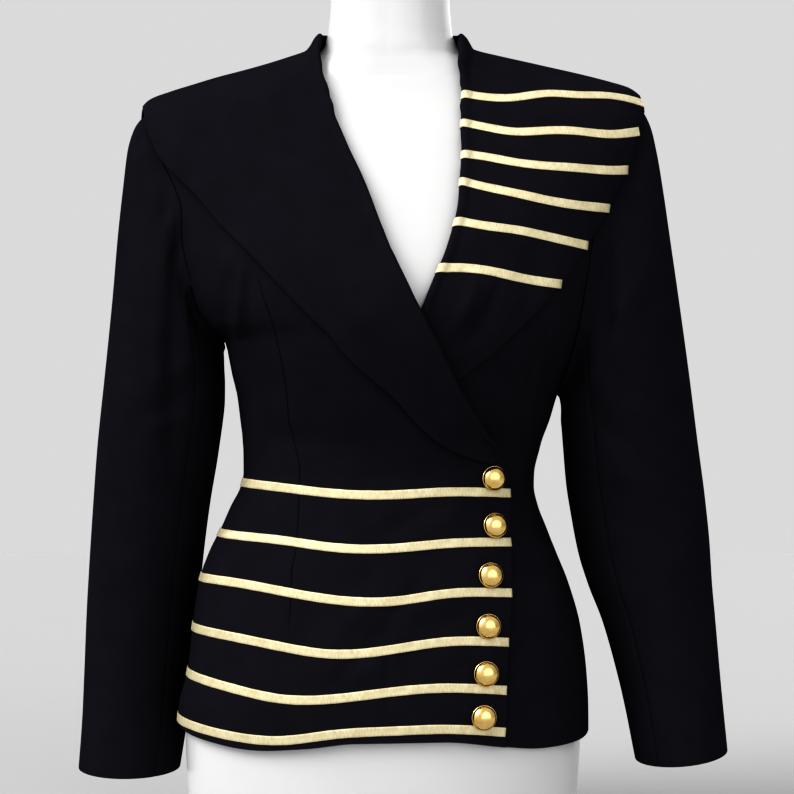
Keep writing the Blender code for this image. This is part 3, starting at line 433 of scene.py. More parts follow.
# A button: its dome rises from inside a thin raised rim
BUTTON_RADIUS = 10.6
BUTTON_TOP = 10.6
DOME_RADIUS = 10.15
DOME_FOOT = 4.0
DOME_STEPS = 20
RIM_HEIGHT = 3.6
RIM_ROUND = 0.4
RIM_STEPS = 6
BUTTON_SIDES = 72
# Below the rim, to the foot of the shank: radius, height above the cloth
BUTTON_BACK = [(9.0, 2.9), (SHANK_RADIUS, 2.7), (SHANK_RADIUS, SHANK_FOOT)]

# The form's moulding
FORM_SIDES = 128
FORM_STEP = 8  # between its levels
NECK_JOINT = 664.0  # height of the joint between the neck block and the torso
JOINT_DEPTH = 0.2
JOINT_HALF = 1.5
JOINT_LEVELS = (-2.0, -0.9, 0.0, 0.9, 2.0)  # levels beside the joint, in mm from it
MOULD_SEAM = 0.15  # height of the seams at both sides
MOULD_HALF = 3.1  # their half width, in degrees of turn
RIM_RADIUS = 2.5  # of the form's rounded top and base edges

# The record's material slots
WOOL_SLOT = "black wool cloth"
BRAID_SLOT = "gold braid"
METAL_SLOT = "gold metal"
FORM_SLOT = "white form"

# Colours as linear red, green and blue
BLACK = (0.0247, 0.0233, 0.0298)
BLACK_LOW = (0.0230, 0.0217, 0.0279)
BLACK_HIGH = (0.0266, 0.0251, 0.0320)
BRAID_MIDDLE = (0.70, 0.63, 0.42)
BRAID_LOW = (0.58, 0.50, 0.30)
BRAID_HIGH = (0.81, 0.75, 0.53)
GOLD = (0.97, 0.74, 0.35)
GOLD_LOW = (0.86, 0.58, 0.21)
GOLD_EDGE = (0.45, 0.24, 0.07)
WHITE = (0.67, 0.67, 0.67)
WHITE_LOW = (0.65, 0.65, 0.65)
BACKGROUND = 0.452
FLOOR_GREY = (0.47, 0.47, 0.47)

# Scales of the wave textures
TWILL_SCALE = 520.0  # a rib of the twill every 0.85 mm
THREAD_SCALE = 420.0  # a rib across the braid every 0.75 mm

CAMERA_PLACE = (0.0061, -2.1, 0.388)
CAMERA_LENS = 108.8
# The floor, in metres
FLOOR_RADIUS = 4.0
FLOOR_SIDES = 128
FLOOR_HEIGHT = -0.0005
# Lights: name, strength, spread, tilt from straight down and turn round the object, in degrees
LIGHTS = [
    ("key", 1.43, 38.0, 49.0, -60.0),
    ("fill", 0.62, 60.0, 80.0, 24.0),
    ("back", 0.6, 60.0, 66.0, 150.0),
]
# The studio's walls, from the dark right side to the bright left one: place, brightness
STUDIO = [
    (0.0, 0.26), (0.22, 0.34), (0.38, BACKGROUND), (0.62, BACKGROUND), (0.8, 0.6), (1.0, 0.68),
]
STUDIO_TILT = 25.0  # the bright side leans up by this angle, in degrees


def steps_between(values):
    return [after - before for before, after in zip(values, values[1:])]


class Curve:
    """A smooth curve through the rows of a table, which never swings past them."""

    def __init__(self, places, values):
        self.places, self.values = list(places), list(values)
        self.steps = steps_between(self.places)
        self.rates = [rise / step for rise, step in zip(steps_between(self.values), self.steps)]
        self.slopes = self.find_slopes()

    def find_slopes(self):
        inner = [
            0.0 if before * after <= 0 else 2 * before * after / (before + after)
            for before, after in zip(self.rates, self.rates[1:])
        ]
        return [self.rates[0], *inner, self.rates[-1]]

    def __call__(self, place):
        place = min(max(place, self.places[0]), self.places[-1])
        index = min(bisect(self.places, place), len(self.places) - 1) - 1
        step = self.steps[index]
        t = (place - self.places[index]) / step
        start = (1 + 2 * t) * (1 - t) ** 2 * self.values[index]
        start += t * (1 - t) ** 2 * step * self.slopes[index]
        end = t * t * (3 - 2 * t) * self.values[index + 1]
        end += t * t * (t - 1) * step * self.slopes[index + 1]
        return start + end


class Spline(Curve):
    """A natural cubic curve through a few places: braid eased along its line."""

    def find_slopes(self):
        slopes = [self.rates[0], *self.rates]
        for _ in range(SPLINE_ROUNDS):
            for place in range(len(slopes)):
                pull = weight = 0.0
                for neighbour, span in ((place - 1, place - 1), (place + 1, place)):
                    if 0 <= neighbour < len(slopes):
                        pull += (3 * self.rates[span] - slopes[neighbour]) / self.steps[span]
                        weight += 2 / self.steps[span]
                slopes[place] = pull / weight
        return slopes


class Figure:
    """A closed upright surface through a table of level sections."""

    def __init__(self, table):
        heights, *columns = zip(*table)
        self.lowest, self.highest = heights[0], heights[-1]
        self.curves = [Curve(heights, column) for column in columns]

    def section(self, height):
        return [curve(height) for curve in self.curves]

    def point(self, turn, height):
        """The point at a turn round the figure: 0 is centre front, 90 the left side."""
        right, left, front, back, middle, squareness = self.section(height)
        sine = math.sin(math.radians(turn))
        cosine = math.cos(math.radians(turn))
        power = 2 / squareness
        half = left if sine >= 0 else right
        depth = front if cosine >= 0 else back
        x = half * math.copysign(abs(sine) ** power, sine)
        y = middle - depth * math.copysign(abs(cosine) ** power, cosine)
        return Vector((x, y, height))

    def normal(self, turn, height):
        """The direction straight out of the surface, from places a degree and a millimetre off."""
        low = max(height - 1, self.lowest)
        high = min(height + 1, self.highest)
        around = self.point(turn + 1, height) - self.point(turn - 1, height)
        upward = self.point(turn, high) - self.point(turn, low)
        return around.cross(upward).normalized()

    def turn_at(self, x, height):
        """The turn at which the front reaches x."""
        right, left, *_, squareness = self.section(height)
        share = min(abs(x) / (left if x >= 0 else right), 1.0)
        return math.copysign(math.degrees(math.asin(share ** (squareness / 2))), x)


body = Figure(BODY)
form = Figure(FORM)
hem_height = Curve(*zip(*HEM))
closing_edge = Curve(*zip(*CLOSING_EDGE))
armhole_width = {side: Curve(*zip(*line)) for side, line in ARMHOLE.items()}
dart_line = {panel: Curve(*zip(*line)) for panel, line in DARTS.items()}


def smooth(share):
    """Ease from 0 to 1, flat at both ends."""
    share = min(max(share, 0.0), 1.0)
    return share * share * (3 - 2 * share)


def eased(value, start, end):
    """0 at the start, 1 at the end, eased between them."""
    return smooth((value - start) / (end - start))


def blend(start, end, share):
    return start + (end - start) * share


def fine_rows(rows, steps):
    """The rows of a table with smooth ones worked out between them."""
    curves = [Curve(range(len(rows)), column) for column in zip(*rows)]
    count = (len(rows) - 1) * steps
    return [[curve(number / steps) for curve in curves] for number in range(count + 1)]


def run_along(points):
    """How far along a line of points each of them lies."""
    runs = [0.0]
    for before, after in zip(points, points[1:]):
        runs.append(runs[-1] + (after - before).length)
    return runs


# ---- folds, creases and darts


def beside(line, x, height):
    """How far a place lies along a line and across from it, and the line's length."""
    x1, height1, x2, height2 = line
    run_x, run_z = x2 - x1, height2 - height1
    length = math.hypot(run_x, run_z)
    along = ((x - x1) * run_x + (height - height1) * run_z) / length
    across = ((x - x1) * run_z - (height - height1) * run_x) / length
    return along, across, length


def fold_rise(folds, x, height):
    """How far soft folds lift the cloth at a place seen from the front."""
    rise = 0.0
    for *line, half_width, crest in folds:
        along, across, length = beside(line, x, height)
        ends = smooth(0.5 + 0.5 * min(along, length - along) / half_width)
        rise += crest * ends * math.exp(-(across / half_width) ** 2)
    return rise


def crease_rise(panel, x, height):
    """How far the listed creases of one panel lift the cloth, each a bowed trough or ridge."""
    rise = 0.0
    for *line, bow, half_width, crest in CREASES[panel]:
        along, across, length = beside(line, x, height)
        if not -half_width < along < length + half_width or abs(across) > abs(bow) + 3 * half_width:
            continue
        share = min(max(along / length, 0.0), 1.0)
        across -= 4 * bow * share * (1 - share)
        ends = smooth(share / CREASE_END) * smooth((1 - share) / CREASE_END)
        rise += crest * ends * math.exp(-(across / half_width) ** 2)
    return rise


def dart_rise(panel, x, height):
    """A dart's stitched line, with the cloth slightly puffed on both sides of it."""
    low, high = DARTS[panel][0][0], DARTS[panel][-1][0]
    across = abs(x - dart_line[panel](height))
    if across > DART_REACH or not low < height < high:
        return 0.0
    groove = DART_DEPTH * math.exp(-(across / DART_HALF) ** 2)
    puff = DART_PUFF * math.exp(-((across - PUFF_PLACE) / PUFF_HALF) ** 2)
    return smooth(min(height - low, high - height) / DART_TAPER) * (puff - groove)


def cloth_rise(side, point):
    """How far one side's cloth stands off the body surface at a point of it."""
    if point.y > 0:
        return 0.0
    rise = fold_rise(BODY_FOLDS[side], point.x, point.z)
    if side == "right":
        centre_x, centre_z, flat, reach, crest = CROSSING
        distance = math.hypot(point.x - centre_x, point.z - centre_z)
        return rise + crest * (1 - eased(distance, flat, reach))
    return rise - LAP_DEPTH * (1 - eased(point.x, *LAP_SIDE)) * (1 - eased(point.z, *LAP_TOP))


def cloth_point(side, turn, height):
    """A point of the outer face of one side's cloth, and the direction out of it."""
    point = body.point(turn, height)
    normal = body.normal(turn, height)
    return point + normal * cloth_rise(side, point), normal


def dart_share(panel, row):
    """The share of a row, from its first to its last turn and height, at which its dart crosses."""
    first_turn, first_z, last_turn, last_z = row
    share = 0.5
    for _ in range(SEARCH_ROUNDS):
        height = blend(first_z, last_z, share)
        turn = body.turn_at(dart_line[panel](height), height)
        if panel.endswith("back"):
            turn = math.copysign(180.0, turn) - turn
        share = (turn - first_turn) / (last_turn - first_turn)
        share = min(max(share, DART_SHARES[0]), DART_SHARES[1])
    return share


def row_shares(counts, panel, row):
    """Shares of a row's width for its columns, close together at its ends and at its dart.

    counts are the even columns before and after the dart; row is its first and last turn and height.
    """
    first_turn, first_z, last_turn, last_z = row
    places = [step / WIDTH_STEPS for step in range(WIDTH_STEPS + 1)]
    width = run_along([
        body.point(blend(first_turn, last_turn, place), blend(first_z, last_z, place))
        for place in places
    ])[-1]
    dart = dart_share(panel, row)
    ends = [place / width for place in EDGE_COLUMNS]
    line = [dart + place / width for place in DART_COLUMNS]
    before = [blend(ends[-1], line[0], step / counts[0]) for step in range(1, counts[0])]
    after = [blend(line[-1], 1 - ends[-1], step / counts[1]) for step in range(1, counts[1])]
    return ends + before + line + after + [1 - end for end in reversed(ends)]


# ---- meshes


def placed(name, data):
    """An object for some data, linked into the scene."""
    thing = bpy.data.objects.new(name, data)
    bpy.context.scene.collection.objects.link(thing)
    return thing


def new_object(name, points, faces, looks, node, uvs=None):
    """A piece made of points in millimetres, riding on the root and standing for its node."""
    material, slot = looks
    mesh = bpy.data.meshes.new(name)
    mesh.from_pydata([point * MM for point in points], [], faces)
    mesh.materials.append(material)
    if uvs:
        layer = mesh.uv_layers.new(name="cloth")
        for loop in mesh.loops:
            layer.data[loop.index].uv = uvs[loop.vertex_index]
    mesh.shade_smooth()
    piece = placed(name, mesh)
    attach(piece, "root")
    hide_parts(node)
    return piece


def round_edges(piece, radius, segments, sharpest):
    """Rounds the edges of a piece whose faces turn by more than an angle in degrees."""
    rounding = piece.modifiers.new("rounded edges", "BEVEL")
    rounding.width = radius * MM
    rounding.segments = segments
    rounding.limit_method = "ANGLE"
    rounding.angle_limit = math.radians(sharpest)


def grid_normals(grid, closed=False):
    """The directions out of a grid whose columns run on and whose rows climb."""
    columns = len(grid[0])
    normals = []
    for row, line in enumerate(grid):
        above, below = grid[min(row + 1, len(grid) - 1)], grid[max(row - 1, 0)]
        outs = []
        for column in range(columns):
            right, left = min(column + 1, columns - 1), max(column - 1, 0)
            if closed:
                right, left = (column + 1) % columns, (column - 1) % columns
            outs.append((line[right] - line[left]).cross(above[column] - below[column]).normalized())
        normals.append(outs)
    return normals


def flat_places(grid):
    """Where each point lies on the cloth when it is spread flat, in metres."""
    middle = len(grid[0]) // 2
    places = []
    for line, height in zip(grid, run_along([line[middle] for line in grid])):
        along = run_along(line)
        places += [((run - along[middle]) * MM, height * MM) for run in along]
    return places


def wall(name, outer, inner, places, looks, node):
    """A closed wall between an outer and an inner grid, with each point's place on the cloth."""
    rows, columns = len(outer), len(outer[0])
    under = rows * columns
    faces = []
    for row in range(rows - 1):
        for corner in range(row * columns, (row + 1) * columns - 1):
            corners = [corner, corner + 1, corner + columns + 1, corner + columns]
            faces.append(corners)
            faces.append([under + place for place in reversed(corners)])
    rim = [
        *range(columns), *range(2 * columns - 1, under, columns),
        *range(under - 2, under - columns - 1, -1), *range(under - 2 * columns, 0, -columns),
    ]
    for here, after in zip(rim, rim[1:] + rim[:1]):
        faces.append([after, here, under + here, under + after])
    points = [point for grid in (outer, inner) for line in grid for point in line]
    return new_object(name, points, faces, looks, node, places * 2)


def make_cloth(node, grid, normals, depth, edges, looks):
    """A node's cloth: a wall as deep as the cloth behind its outer grid, sunk at its sewn edges."""
    for line, outs in zip(grid, normals):
        for column, (point, out) in enumerate(zip(line, outs)):
            seams = {"left": line[0], "right": line[-1], "top": grid[-1][column]}
            near = min((point - seams[edge]).length for edge in edges)
            if near < SEAM_REACH:
                line[column] = point - out * (SEAM_DIP * (1 - near / SEAM_REACH) ** 2)
    inner = [
        [point - out * depth for point, out in zip(line, outs)]
        for line, outs in zip(grid, normals)
    ]
    piece = wall(f"{node}_cloth", grid, inner, flat_places(grid), looks, node)
    round_edges(piece, EDGE_ROUND, segments=2, sharpest=60)
    return piece


def ring_faces(rings, sides):
    """Faces round a tube of rings that climb."""
    faces = []
    for low in range(0, (rings - 1) * sides, sides):
        for step in range(sides):
            after = (step + 1) % sides
            faces.append([low + step, low + after, low + sides + after, low + sides + step])
    return faces


# ---- fronts and backs


def armhole_turn(side, height):
    """The turn of a front's outer edge: at the side seam, or at the armhole's line."""
    if not ARMHOLE[side][0][0] < height < ARMHOLE[side][-1][0]:
        return 90.0 * SIGN[side]
    return body.turn_at(SIGN[side] * armhole_width[side](height), height)


def armhole_height(side, angle):
    """Height of a place up an armhole: 0 is the underarm and a half turn is the shoulder."""
    return blend(ARMHOLE[side][0][0], ARMHOLE[side][-1][0], (1 - math.cos(angle)) / 2)


def outer_heights(side):
    """Heights at a front's outer edge: side seam, armhole and shoulder seam."""
    heights = list(SIDE_ROWS[side])
    heights += [armhole_height(side, math.pi * step / ARM_STEPS) for step in range(ARM_STEPS + 1)]
    steps = range(1, SHOULDER_STEPS + 1)
    return heights + [blend(ARMHOLE[side][-1][0], NECK_HEIGHT, step / SHOULDER_STEPS) for step in steps]


def front_rows(side):
    """Rows of a front: inner edge's x and height, outer edge's height, share of the hem's line."""
    lower = [(hem_height(0), hem_height(90.0 * SIGN[side]), 1.0)]
    lower += [(height, height, 0.0) for height in LOWER_ROWS]
    if side == "left":
        lower.append((*LEFT_TOP_ROW, 0.0))
    rows = [(LEFT_EDGE_X if side == "left" else closing_edge(row[0]), *row) for row in lower]
    for station, outer in zip(COLLAR[side], outer_heights(side)):
        rows.append((station[0], station[1], outer, 0.0))
    return rows


def front_point(side, turn, height):
    """A point of a front's outer face with its folds, darts and creases, and the way out of it."""
    point, normal = cloth_point(side, turn, height)
    panel = f"{side}_front"
    rise = crease_rise(panel, point.x, point.z) + dart_rise(panel, point.x, point.z)
    return point + normal * rise, normal


def front_grid(side):
    """Outer points of a front, from its right edge to its left edge."""
    grid = []
    for inner_x, inner_z, outer_z, hem in fine_rows(front_rows(side), ROW_STEPS):
        turn_in, turn_out = body.turn_at(inner_x, inner_z), armhole_turn(side, outer_z)
        row = (turn_in, inner_z, turn_out, outer_z)
        line = []
        for share in row_shares(FRONT_COLUMNS[side], f"{side}_front", row):
            turn = blend(turn_in, turn_out, share)
            height = blend(blend(inner_z, outer_z, share), hem_height(turn), hem)
            point, _ = front_point(side, turn, height)
            if abs(turn - 90.0 * SIGN[side]) < SEAM_NEAR:
                point.y -= SEAM_HALF
            line.append(point)
        grid.append(line[::SIGN[side]])
    return grid


def back_grid(side):
    """Outer points of half of the back, from its right edge to its left edge."""
    panel, side_turn, centre_turn = f"{side}_back", 90.0 * SIGN[side], 180.0 * SIGN[side]
    rows = [(hem_height(side_turn), 1.0)]
    rows += [(height, 0.0) for height in (*LOWER_ROWS, *outer_heights(side))]
    grid = []
    for height, hem in fine_rows(rows, ROW_STEPS):
        turn_out = centre_turn - armhole_turn(side, height)
        line = []
        for share in row_shares(BACK_COLUMNS, panel, (turn_out, height, centre_turn, height)):
            turn = blend(turn_out, centre_turn, share)
            level = blend(height, hem_height(turn), hem)
            point = body.point(turn, level)
            rise = crease_rise("back", point.x, point.z) + dart_rise(panel, point.x, point.z)
            point += body.normal(turn, level) * rise
            if abs(turn - side_turn) < SEAM_NEAR:
                point.y += SEAM_HALF
            if share == 1.0:
                point.x = SIGN[side] * SEAM_HALF
            line.append(point)
        grid.append(line[::SIGN[side]])
    return grid


def make_body(side, wool):
    """One side's front and back, sewn at the side and shoulder seams and down the centre back."""
    grid = front_grid(side)
    edges = ("left" if side == "right" else "right", "top")
    piece = make_cloth(f"{side}_front", grid, grid_normals(grid), WOOL, edges, wool)
    grid = back_grid(side)
    piece = make_cloth(f"{side}_back", grid, grid_normals(grid), WOOL, ("left", "right", "top"), wool)


# ---- sleeves


def sleeve_point(side, row, angle):
    """A point of a sleeve's own ring, whose angle is 0 at the underarm and turns by the front."""
    inner_x, inner_z, outer_x, outer_z, middle, half_depth, dip = row
    share = (1 - math.cos(angle)) / 2
    x = SIGN[side] * blend(inner_x, outer_x, share)
    point = Vector((x, middle, blend(inner_z, outer_z, share)))
    point.y -= half_depth * math.sin(angle)
    point.z -= dip * math.sin(angle)
    return point


def sleeve_grid(side):
    """Outer points of a whole sleeve, ring by ring from the cuff up to the armhole."""
    table = SLEEVE[side]
    angles = [2 * math.pi * step / SLEEVE_SIDES for step in range(SLEEVE_SIDES)]
    bends = []
    for angle in angles:
        height = armhole_height(side, angle)
        turn = armhole_turn(side, height)
        if angle > math.pi:
            turn = 180.0 * SIGN[side] - turn
        bends.append(body.point(turn, height) - sleeve_point(side, table[0], angle))
    holds = list(ARMHOLE_HOLD) + [0.0] * (len(table) - len(ARMHOLE_HOLD))
    grid = []
    for *row, hold in fine_rows([(*row, hold) for row, hold in zip(table, holds)], SLEEVE_STEPS):
        ring = [sleeve_point(side, row, angle) + bend * hold for angle, bend in zip(angles, bends)]
        grid.append([ring[step * SIGN[side]] for step in range(SLEEVE_SIDES)])
    grid[0] = [point + Vector((SIGN[side] * ARMHOLE_GAP, 0, 0)) for point in grid[0]]
    grid.reverse()
    for line, outs in zip(grid, grid_normals(grid, closed=True)):
        for place, out in enumerate(outs):
            face = "front" if out.y < 0 else "back"
            rise = crease_rise(f"{side}_sleeve_{face}", line[place].x, line[place].z)
            line[place] = line[place] + out * rise * smooth(abs(out.y) / SIDE_FADE)
    return grid


def make_sleeve(side, wool):
    """A sleeve in two pieces, the under sleeve below and the top sleeve above its seams."""
    grid = sleeve_grid(side)
    normals = grid_normals(grid, closed=True)
    each = SLEEVE_SIDES // (2 * ARM_STEPS)
    first, last = FRONT_SLEEVE_SEAM * each, BACK_SLEEVE_SEAM * each
    if side == "right":
        first, last = SLEEVE_SIDES - last, SLEEVE_SIDES - first
    spans = {"top": range(first, last + 1), "under": range(last, SLEEVE_SIDES + first + 1)}
    for part, span in spans.items():
        lines = [[ring[step % SLEEVE_SIDES].copy() for step in span] for ring in grid]
        outs = [[ring[step % SLEEVE_SIDES] for step in span] for ring in normals]
        for line in lines:
            line[0] += (line[1] - line[0]).normalized() * SLEEVE_SEAM_HALF
            line[-1] += (line[-2] - line[-1]).normalized() * SLEEVE_SEAM_HALF
        piece = make_cloth(f"{side}_{part}_sleeve", lines, outs, WOOL, ("left", "right"), wool)


# ---- collar


def collar_stations(side):
    """Sections of half a collar, from its front tip round to the centre back."""
    stations = [
        (body.turn_at(x, height), height, body.turn_at(edge_x, edge_height), edge_height, *shape)
        for x, height, edge_x, edge_height, *shape in COLLAR[side]
    ]
    roll, lift = COLLAR[side][-1][-2:]
    drop = ARMHOLE[side][-1][0] - SHOULDER_DROP - BACK_COLLAR[0][0]
    for column, (edge_height, up, lean) in enumerate(BACK_COLLAR):
        turn = SIGN[side] * blend(90.0, 180.0, column / (len(BACK_COLLAR) - 1))
        edge_height += drop * (1 - smooth(column / EDGE_SETTLES))
        back_lift = blend(lift, BACK_LIFT, smooth(column / LIFT_SETTLES))
        stations.append((turn, NECK_HEIGHT, turn, edge_height, ROLL_WIDTH, up, lean, roll, back_lift))
    return fine_rows(stations, COLLAR_STEPS)


def collar_section(side, station):
    """Points across the collar, from its neck seam over the roll to its outer edge."""
    turn, height, edge_turn, edge_height, out, up, lean, roll, lift = station

    def chest(share):
        return cloth_point(side, blend(turn, edge_turn, share), blend(height, edge_height, share))

    seam, normal = chest(0.0)
    width = (chest(1.0)[0] - seam).length
    away = (chest(NEAR_SHARE)[0] - seam).normalized()
    middle_y = body.section(height)[4]
    inward = Vector((-seam.x, middle_y - seam.y, 0)).normalized()
    stand = Vector((0, 0, up)) + inward * lean - away * roll
    climb = stand.normalized()
    over = (normal - climb * normal.dot(climb)).normalized()
    radius = out / 2
    top = seam + climb * max(stand.length - radius, 0.0)
    centre = top + over * radius
    hang = centre + over * radius - seam
    foot = seam + normal * COLLAR_STANDOFF
    points = [foot.lerp(top, step / LEG_STEPS) for step in range(LEG_STEPS)]
    for step in range(1, ROLL_STEPS):
        angle = math.pi * step / ROLL_STEPS
        points.append(centre - over * radius * math.cos(angle) + climb * radius * math.sin(angle))
    drop = min(blend(FALL_DROP, SHOULDER_FALL_DROP, eased(height, *FALL_CHANGE)), FALL_SHARE * width)
    for step in range(1, FALL_COLUMNS + 1):
        share = (step / FALL_COLUMNS) ** FALL_SPREAD
        point, outward = chest(share)
        held = 1 - smooth(share * width / drop)
        general = blend(min(lift, FALL_LIFT), lift, smooth(share))
        forward = 0.0
        if point.y < 0:
            general += fold_rise(COLLAR_FOLDS[side], point.x, point.z)
            general += crease_rise(f"{side}_collar", point.x, point.z)
            forward = FORWARD_SHARE * smooth(share) * smooth((SHOULDER_HEIGHT - point.z) / FORWARD_REACH)
        carried = max(hang.dot(outward), 0.0) * held
        lifted = outward.lerp(Vector((0, -1, 0)), forward)
        points.append(point + hang * held + lifted * max(general - carried, 0.0))
    return points


def collar_grid(side):
    """Outer points of half a collar; each row is a section, from the tip to the centre back."""
    grid = [collar_section(side, station) for station in collar_stations(side)]
    for point in grid[-1]:
        point.x = SIGN[side] * SEAM_HALF
    return [line[::SIGN[side]] for line in grid]


def make_collar(side, wool):
    """Half of the collar, whose normals at the centre back lie along the middle of the body."""
    grid = collar_grid(side)
    normals = grid_normals(grid)
    for out in normals[-1]:
        out.x = 0.0
        out.normalize()
    piece = make_cloth(f"{side}_collar", grid, normals, COLLAR_WOOL, ("top",), wool)


# ---- braids


def make_braid(node, frames, looks):
    """A braid, a low crowned strip, along places on the cloth, each with the way out of it."""
    centres, outs = zip(*frames)
    ups = []
    for number, out in enumerate(outs):
        ahead = centres[min(number + 1, len(centres) - 1)] - centres[max(number - 1, 0)]
        ups.append(out.cross(ahead).normalized())
    runs = run_along(centres)
    wavers = [1 + sum(share * math.sin(run * waves + start) for share, waves, start in BRAID_WAVER)
              for run in runs]
    half = BRAID_WIDTH / 2
    top, bottom, places = [], [], []
    for across, high in BRAID_SECTION:
        rise = BRAID_LIFT + BRAID_THICKNESS * high
        top.append([
            centre + up * half * across * waver + out * rise
            for centre, up, out, waver in zip(centres, ups, outs, wavers)
        ])
        bottom.append([
            centre + up * half * across + out * BRAID_LIFT
            for centre, up, out in zip(centres, ups, outs)
        ])
        places += [(run * MM, across * half * MM) for run in runs]
    wall(f"{node}_gold", top, bottom, places, looks, node)


def make_hip_braids(looks):
    """Braids across the right front, from the side seam round to its closing edge."""
    end_x, inset = BRAID_FRONT
    for number, heights in enumerate(HIP_BRAIDS, start=1):
        height_at = Spline(HIP_PLACES[::-1], heights[::-1])
        level = height_at(end_x)
        end = body.turn_at(closing_edge(level) - inset, level)
        frames = []
        for step in range(HIP_BRAID_STEPS + 1):
            turn = blend(BRAID_SIDE, end, step / HIP_BRAID_STEPS)
            height = heights[-1]
            for _ in range(SEARCH_ROUNDS):
                height = height_at(body.point(turn, height).x)
            frames.append(front_point("right", turn, height))
        make_braid(f"hip_braid_{number}", frames, looks)


def between(line, place):
    """The point at a place, counted in points, along a line of them."""
    index = min(int(place), len(line) - 2)
    return line[index].lerp(line[index + 1], place - index)


def place_at(line, height):
    """The first place along a line of points that climbs through a height, or None."""
    for index, (low, high) in enumerate(zip(line, line[1:])):
        if low.z <= height < high.z:
            return index + (height - low.z) / (high.z - low.z)
    return None


def make_collar_braids(looks):
    """Braids across the left collar: over the roll and out to its edge."""
    front = (len(COLLAR["left"]) + 1) * COLLAR_STEPS + 1
    grid = collar_grid("left")[:front]
    normals = grid_normals(grid)
    for number, heights in enumerate(COLLAR_BRAIDS, start=1):
        height_at = Spline(COLLAR_PLACES, heights)
        frames = []
        for column in range(LEG_STEPS, len(grid[0])):
            hook = BRAID_HOOK * (1 - smooth((column - LEG_STEPS) / ROLL_STEPS))
            line = [row[column] for row in grid]
            x = line[front // 2].x
            for _ in range(SEARCH_ROUNDS):
                place = place_at(line, height_at(x) - hook)
                if place is None:
                    break
                x = between(line, place).x
            if place is not None:
                out = between([row[column] for row in normals], place).normalized()
                frames.append((between(line, place), out))
        make_braid(f"collar_braid_{number}", frames, looks)


# ---- buttons and form


def button_profile():
    """From the foot of the shank up to the dome: radius, height above the cloth."""
    profile = []
    for step in range(1, DOME_STEPS + 1):
        angle = 0.5 * math.pi * step / DOME_STEPS
        height = DOME_FOOT + (BUTTON_TOP - DOME_FOOT) * math.cos(angle)
        profile.append((DOME_RADIUS * math.sin(angle), height))
    for step in range(RIM_STEPS + 1):
        angle = math.pi * (0.5 - step / RIM_STEPS)
        radius = BUTTON_RADIUS - RIM_ROUND + RIM_ROUND * math.cos(angle)
        profile.append((radius, RIM_HEIGHT + RIM_ROUND * math.sin(angle)))
    return (profile + BUTTON_BACK)[::-1]


def make_buttons(looks):
    """Domed buttons turned about their axes, each on a shank that stands on the cloth."""
    profile = button_profile()
    faces = ring_faces(len(profile), BUTTON_SIDES)
    count = len(profile) * BUTTON_SIDES
    for step in range(BUTTON_SIDES):
        after = (step + 1) % BUTTON_SIDES
        faces.append([count, after, step])
        faces.append([count + 1, count - BUTTON_SIDES + step, count - BUTTON_SIDES + after])
    for number, (x, height) in enumerate(BUTTONS, start=1):
        centre, normal = cloth_point("right", body.turn_at(x, height), height)
        axis = Vector((0, -1, 0)).lerp(normal, BUTTON_TURN).normalized()
        centre += normal * (SHANK_RADIUS * math.sqrt(1 - axis.dot(normal) ** 2))
        side = axis.orthogonal().normalized()
        other = axis.cross(side)
        points = []
        for radius, rise in profile:
            for step in range(BUTTON_SIDES):
                angle = 2 * math.pi * step / BUTTON_SIDES
                spoke = side * math.cos(angle) + other * math.sin(angle)
                points.append(centre + axis * rise + spoke * radius)
        points += [centre + axis * SHANK_FOOT, centre + axis * BUTTON_TOP]
        new_object(f"button_{number}_gold", points, faces, looks, f"button_{number}")


def make_form(looks):
    """The torso form: a smooth moulded shell with a joint round its neck and its mould seams."""
    levels = {row[0] for row in FORM} | set(range(0, FORM[-1][0] - FORM_STEP, FORM_STEP))
    levels |= {NECK_JOINT + step for step in JOINT_LEVELS}
    points = []
    for height in sorted(levels):
        for step in range(FORM_SIDES):
            turn = 360.0 * step / FORM_SIDES
            point = form.point(turn, height)
            dip = JOINT_DEPTH * max(1 - abs(height - NECK_JOINT) / JOINT_HALF, 0.0)
            seam = MOULD_SEAM * max(1 - abs((turn + 90) % 180 - 90) / MOULD_HALF, 0.0)
            points.append(point + Vector((point.x, point.y, 0)).normalized() * (seam - dip))
    faces = ring_faces(len(levels), FORM_SIDES)
    faces.append(list(range(len(points) - FORM_SIDES, len(points))))
    faces.append(list(reversed(range(FORM_SIDES))))
    piece = new_object("dress_form_shell", points, faces, looks, "dress_form")
    round_edges(piece, RIM_RADIUS, segments=3, sharpest=50)


# ---- materials


def new_material(name, colour, roughness, metallic=0.0, specular=0.5):
    material = bpy.data.materials.new(name)
    material.use_nodes = True
    shader = material.node_tree.nodes["Principled BSDF"]
    settings = {
        "Base Color": (*colour, 1.0), "Roughness": roughness, "Metallic": metallic,
        "Specular IOR Level": specular,
    }
    for socket, value in settings.items():
        shader.inputs[socket].default_value = value
    return material, material.node_tree, shader


def feed(tree, value, socket):
    """Gives an input another node's output, or a plain value."""
    if isinstance(value, bpy.types.NodeSocket):
        tree.links.new(value, socket)
    else:
        socket.default_value = value


def add_node(tree, kind, output=None, **settings):
    """A shader node, or one of its outputs; settings name its attributes or its inputs."""
    node = tree.nodes.new(kind)
    for name, value in settings.items():
        if hasattr(node, name):
            setattr(node, name, value)
        else:
            feed(tree, value, node.inputs[name.replace("_", " ")])
    return node.outputs[output] if output else node


def coordinates(tree, kind):
    return add_node(tree, "ShaderNodeTexCoord", kind)


def noise(tree, source, scale, detail=3.0):
    return add_node(tree, "ShaderNodeTexNoise", "Fac", Vector=source, Scale=scale, Detail=detail,
                    Roughness=0.55)


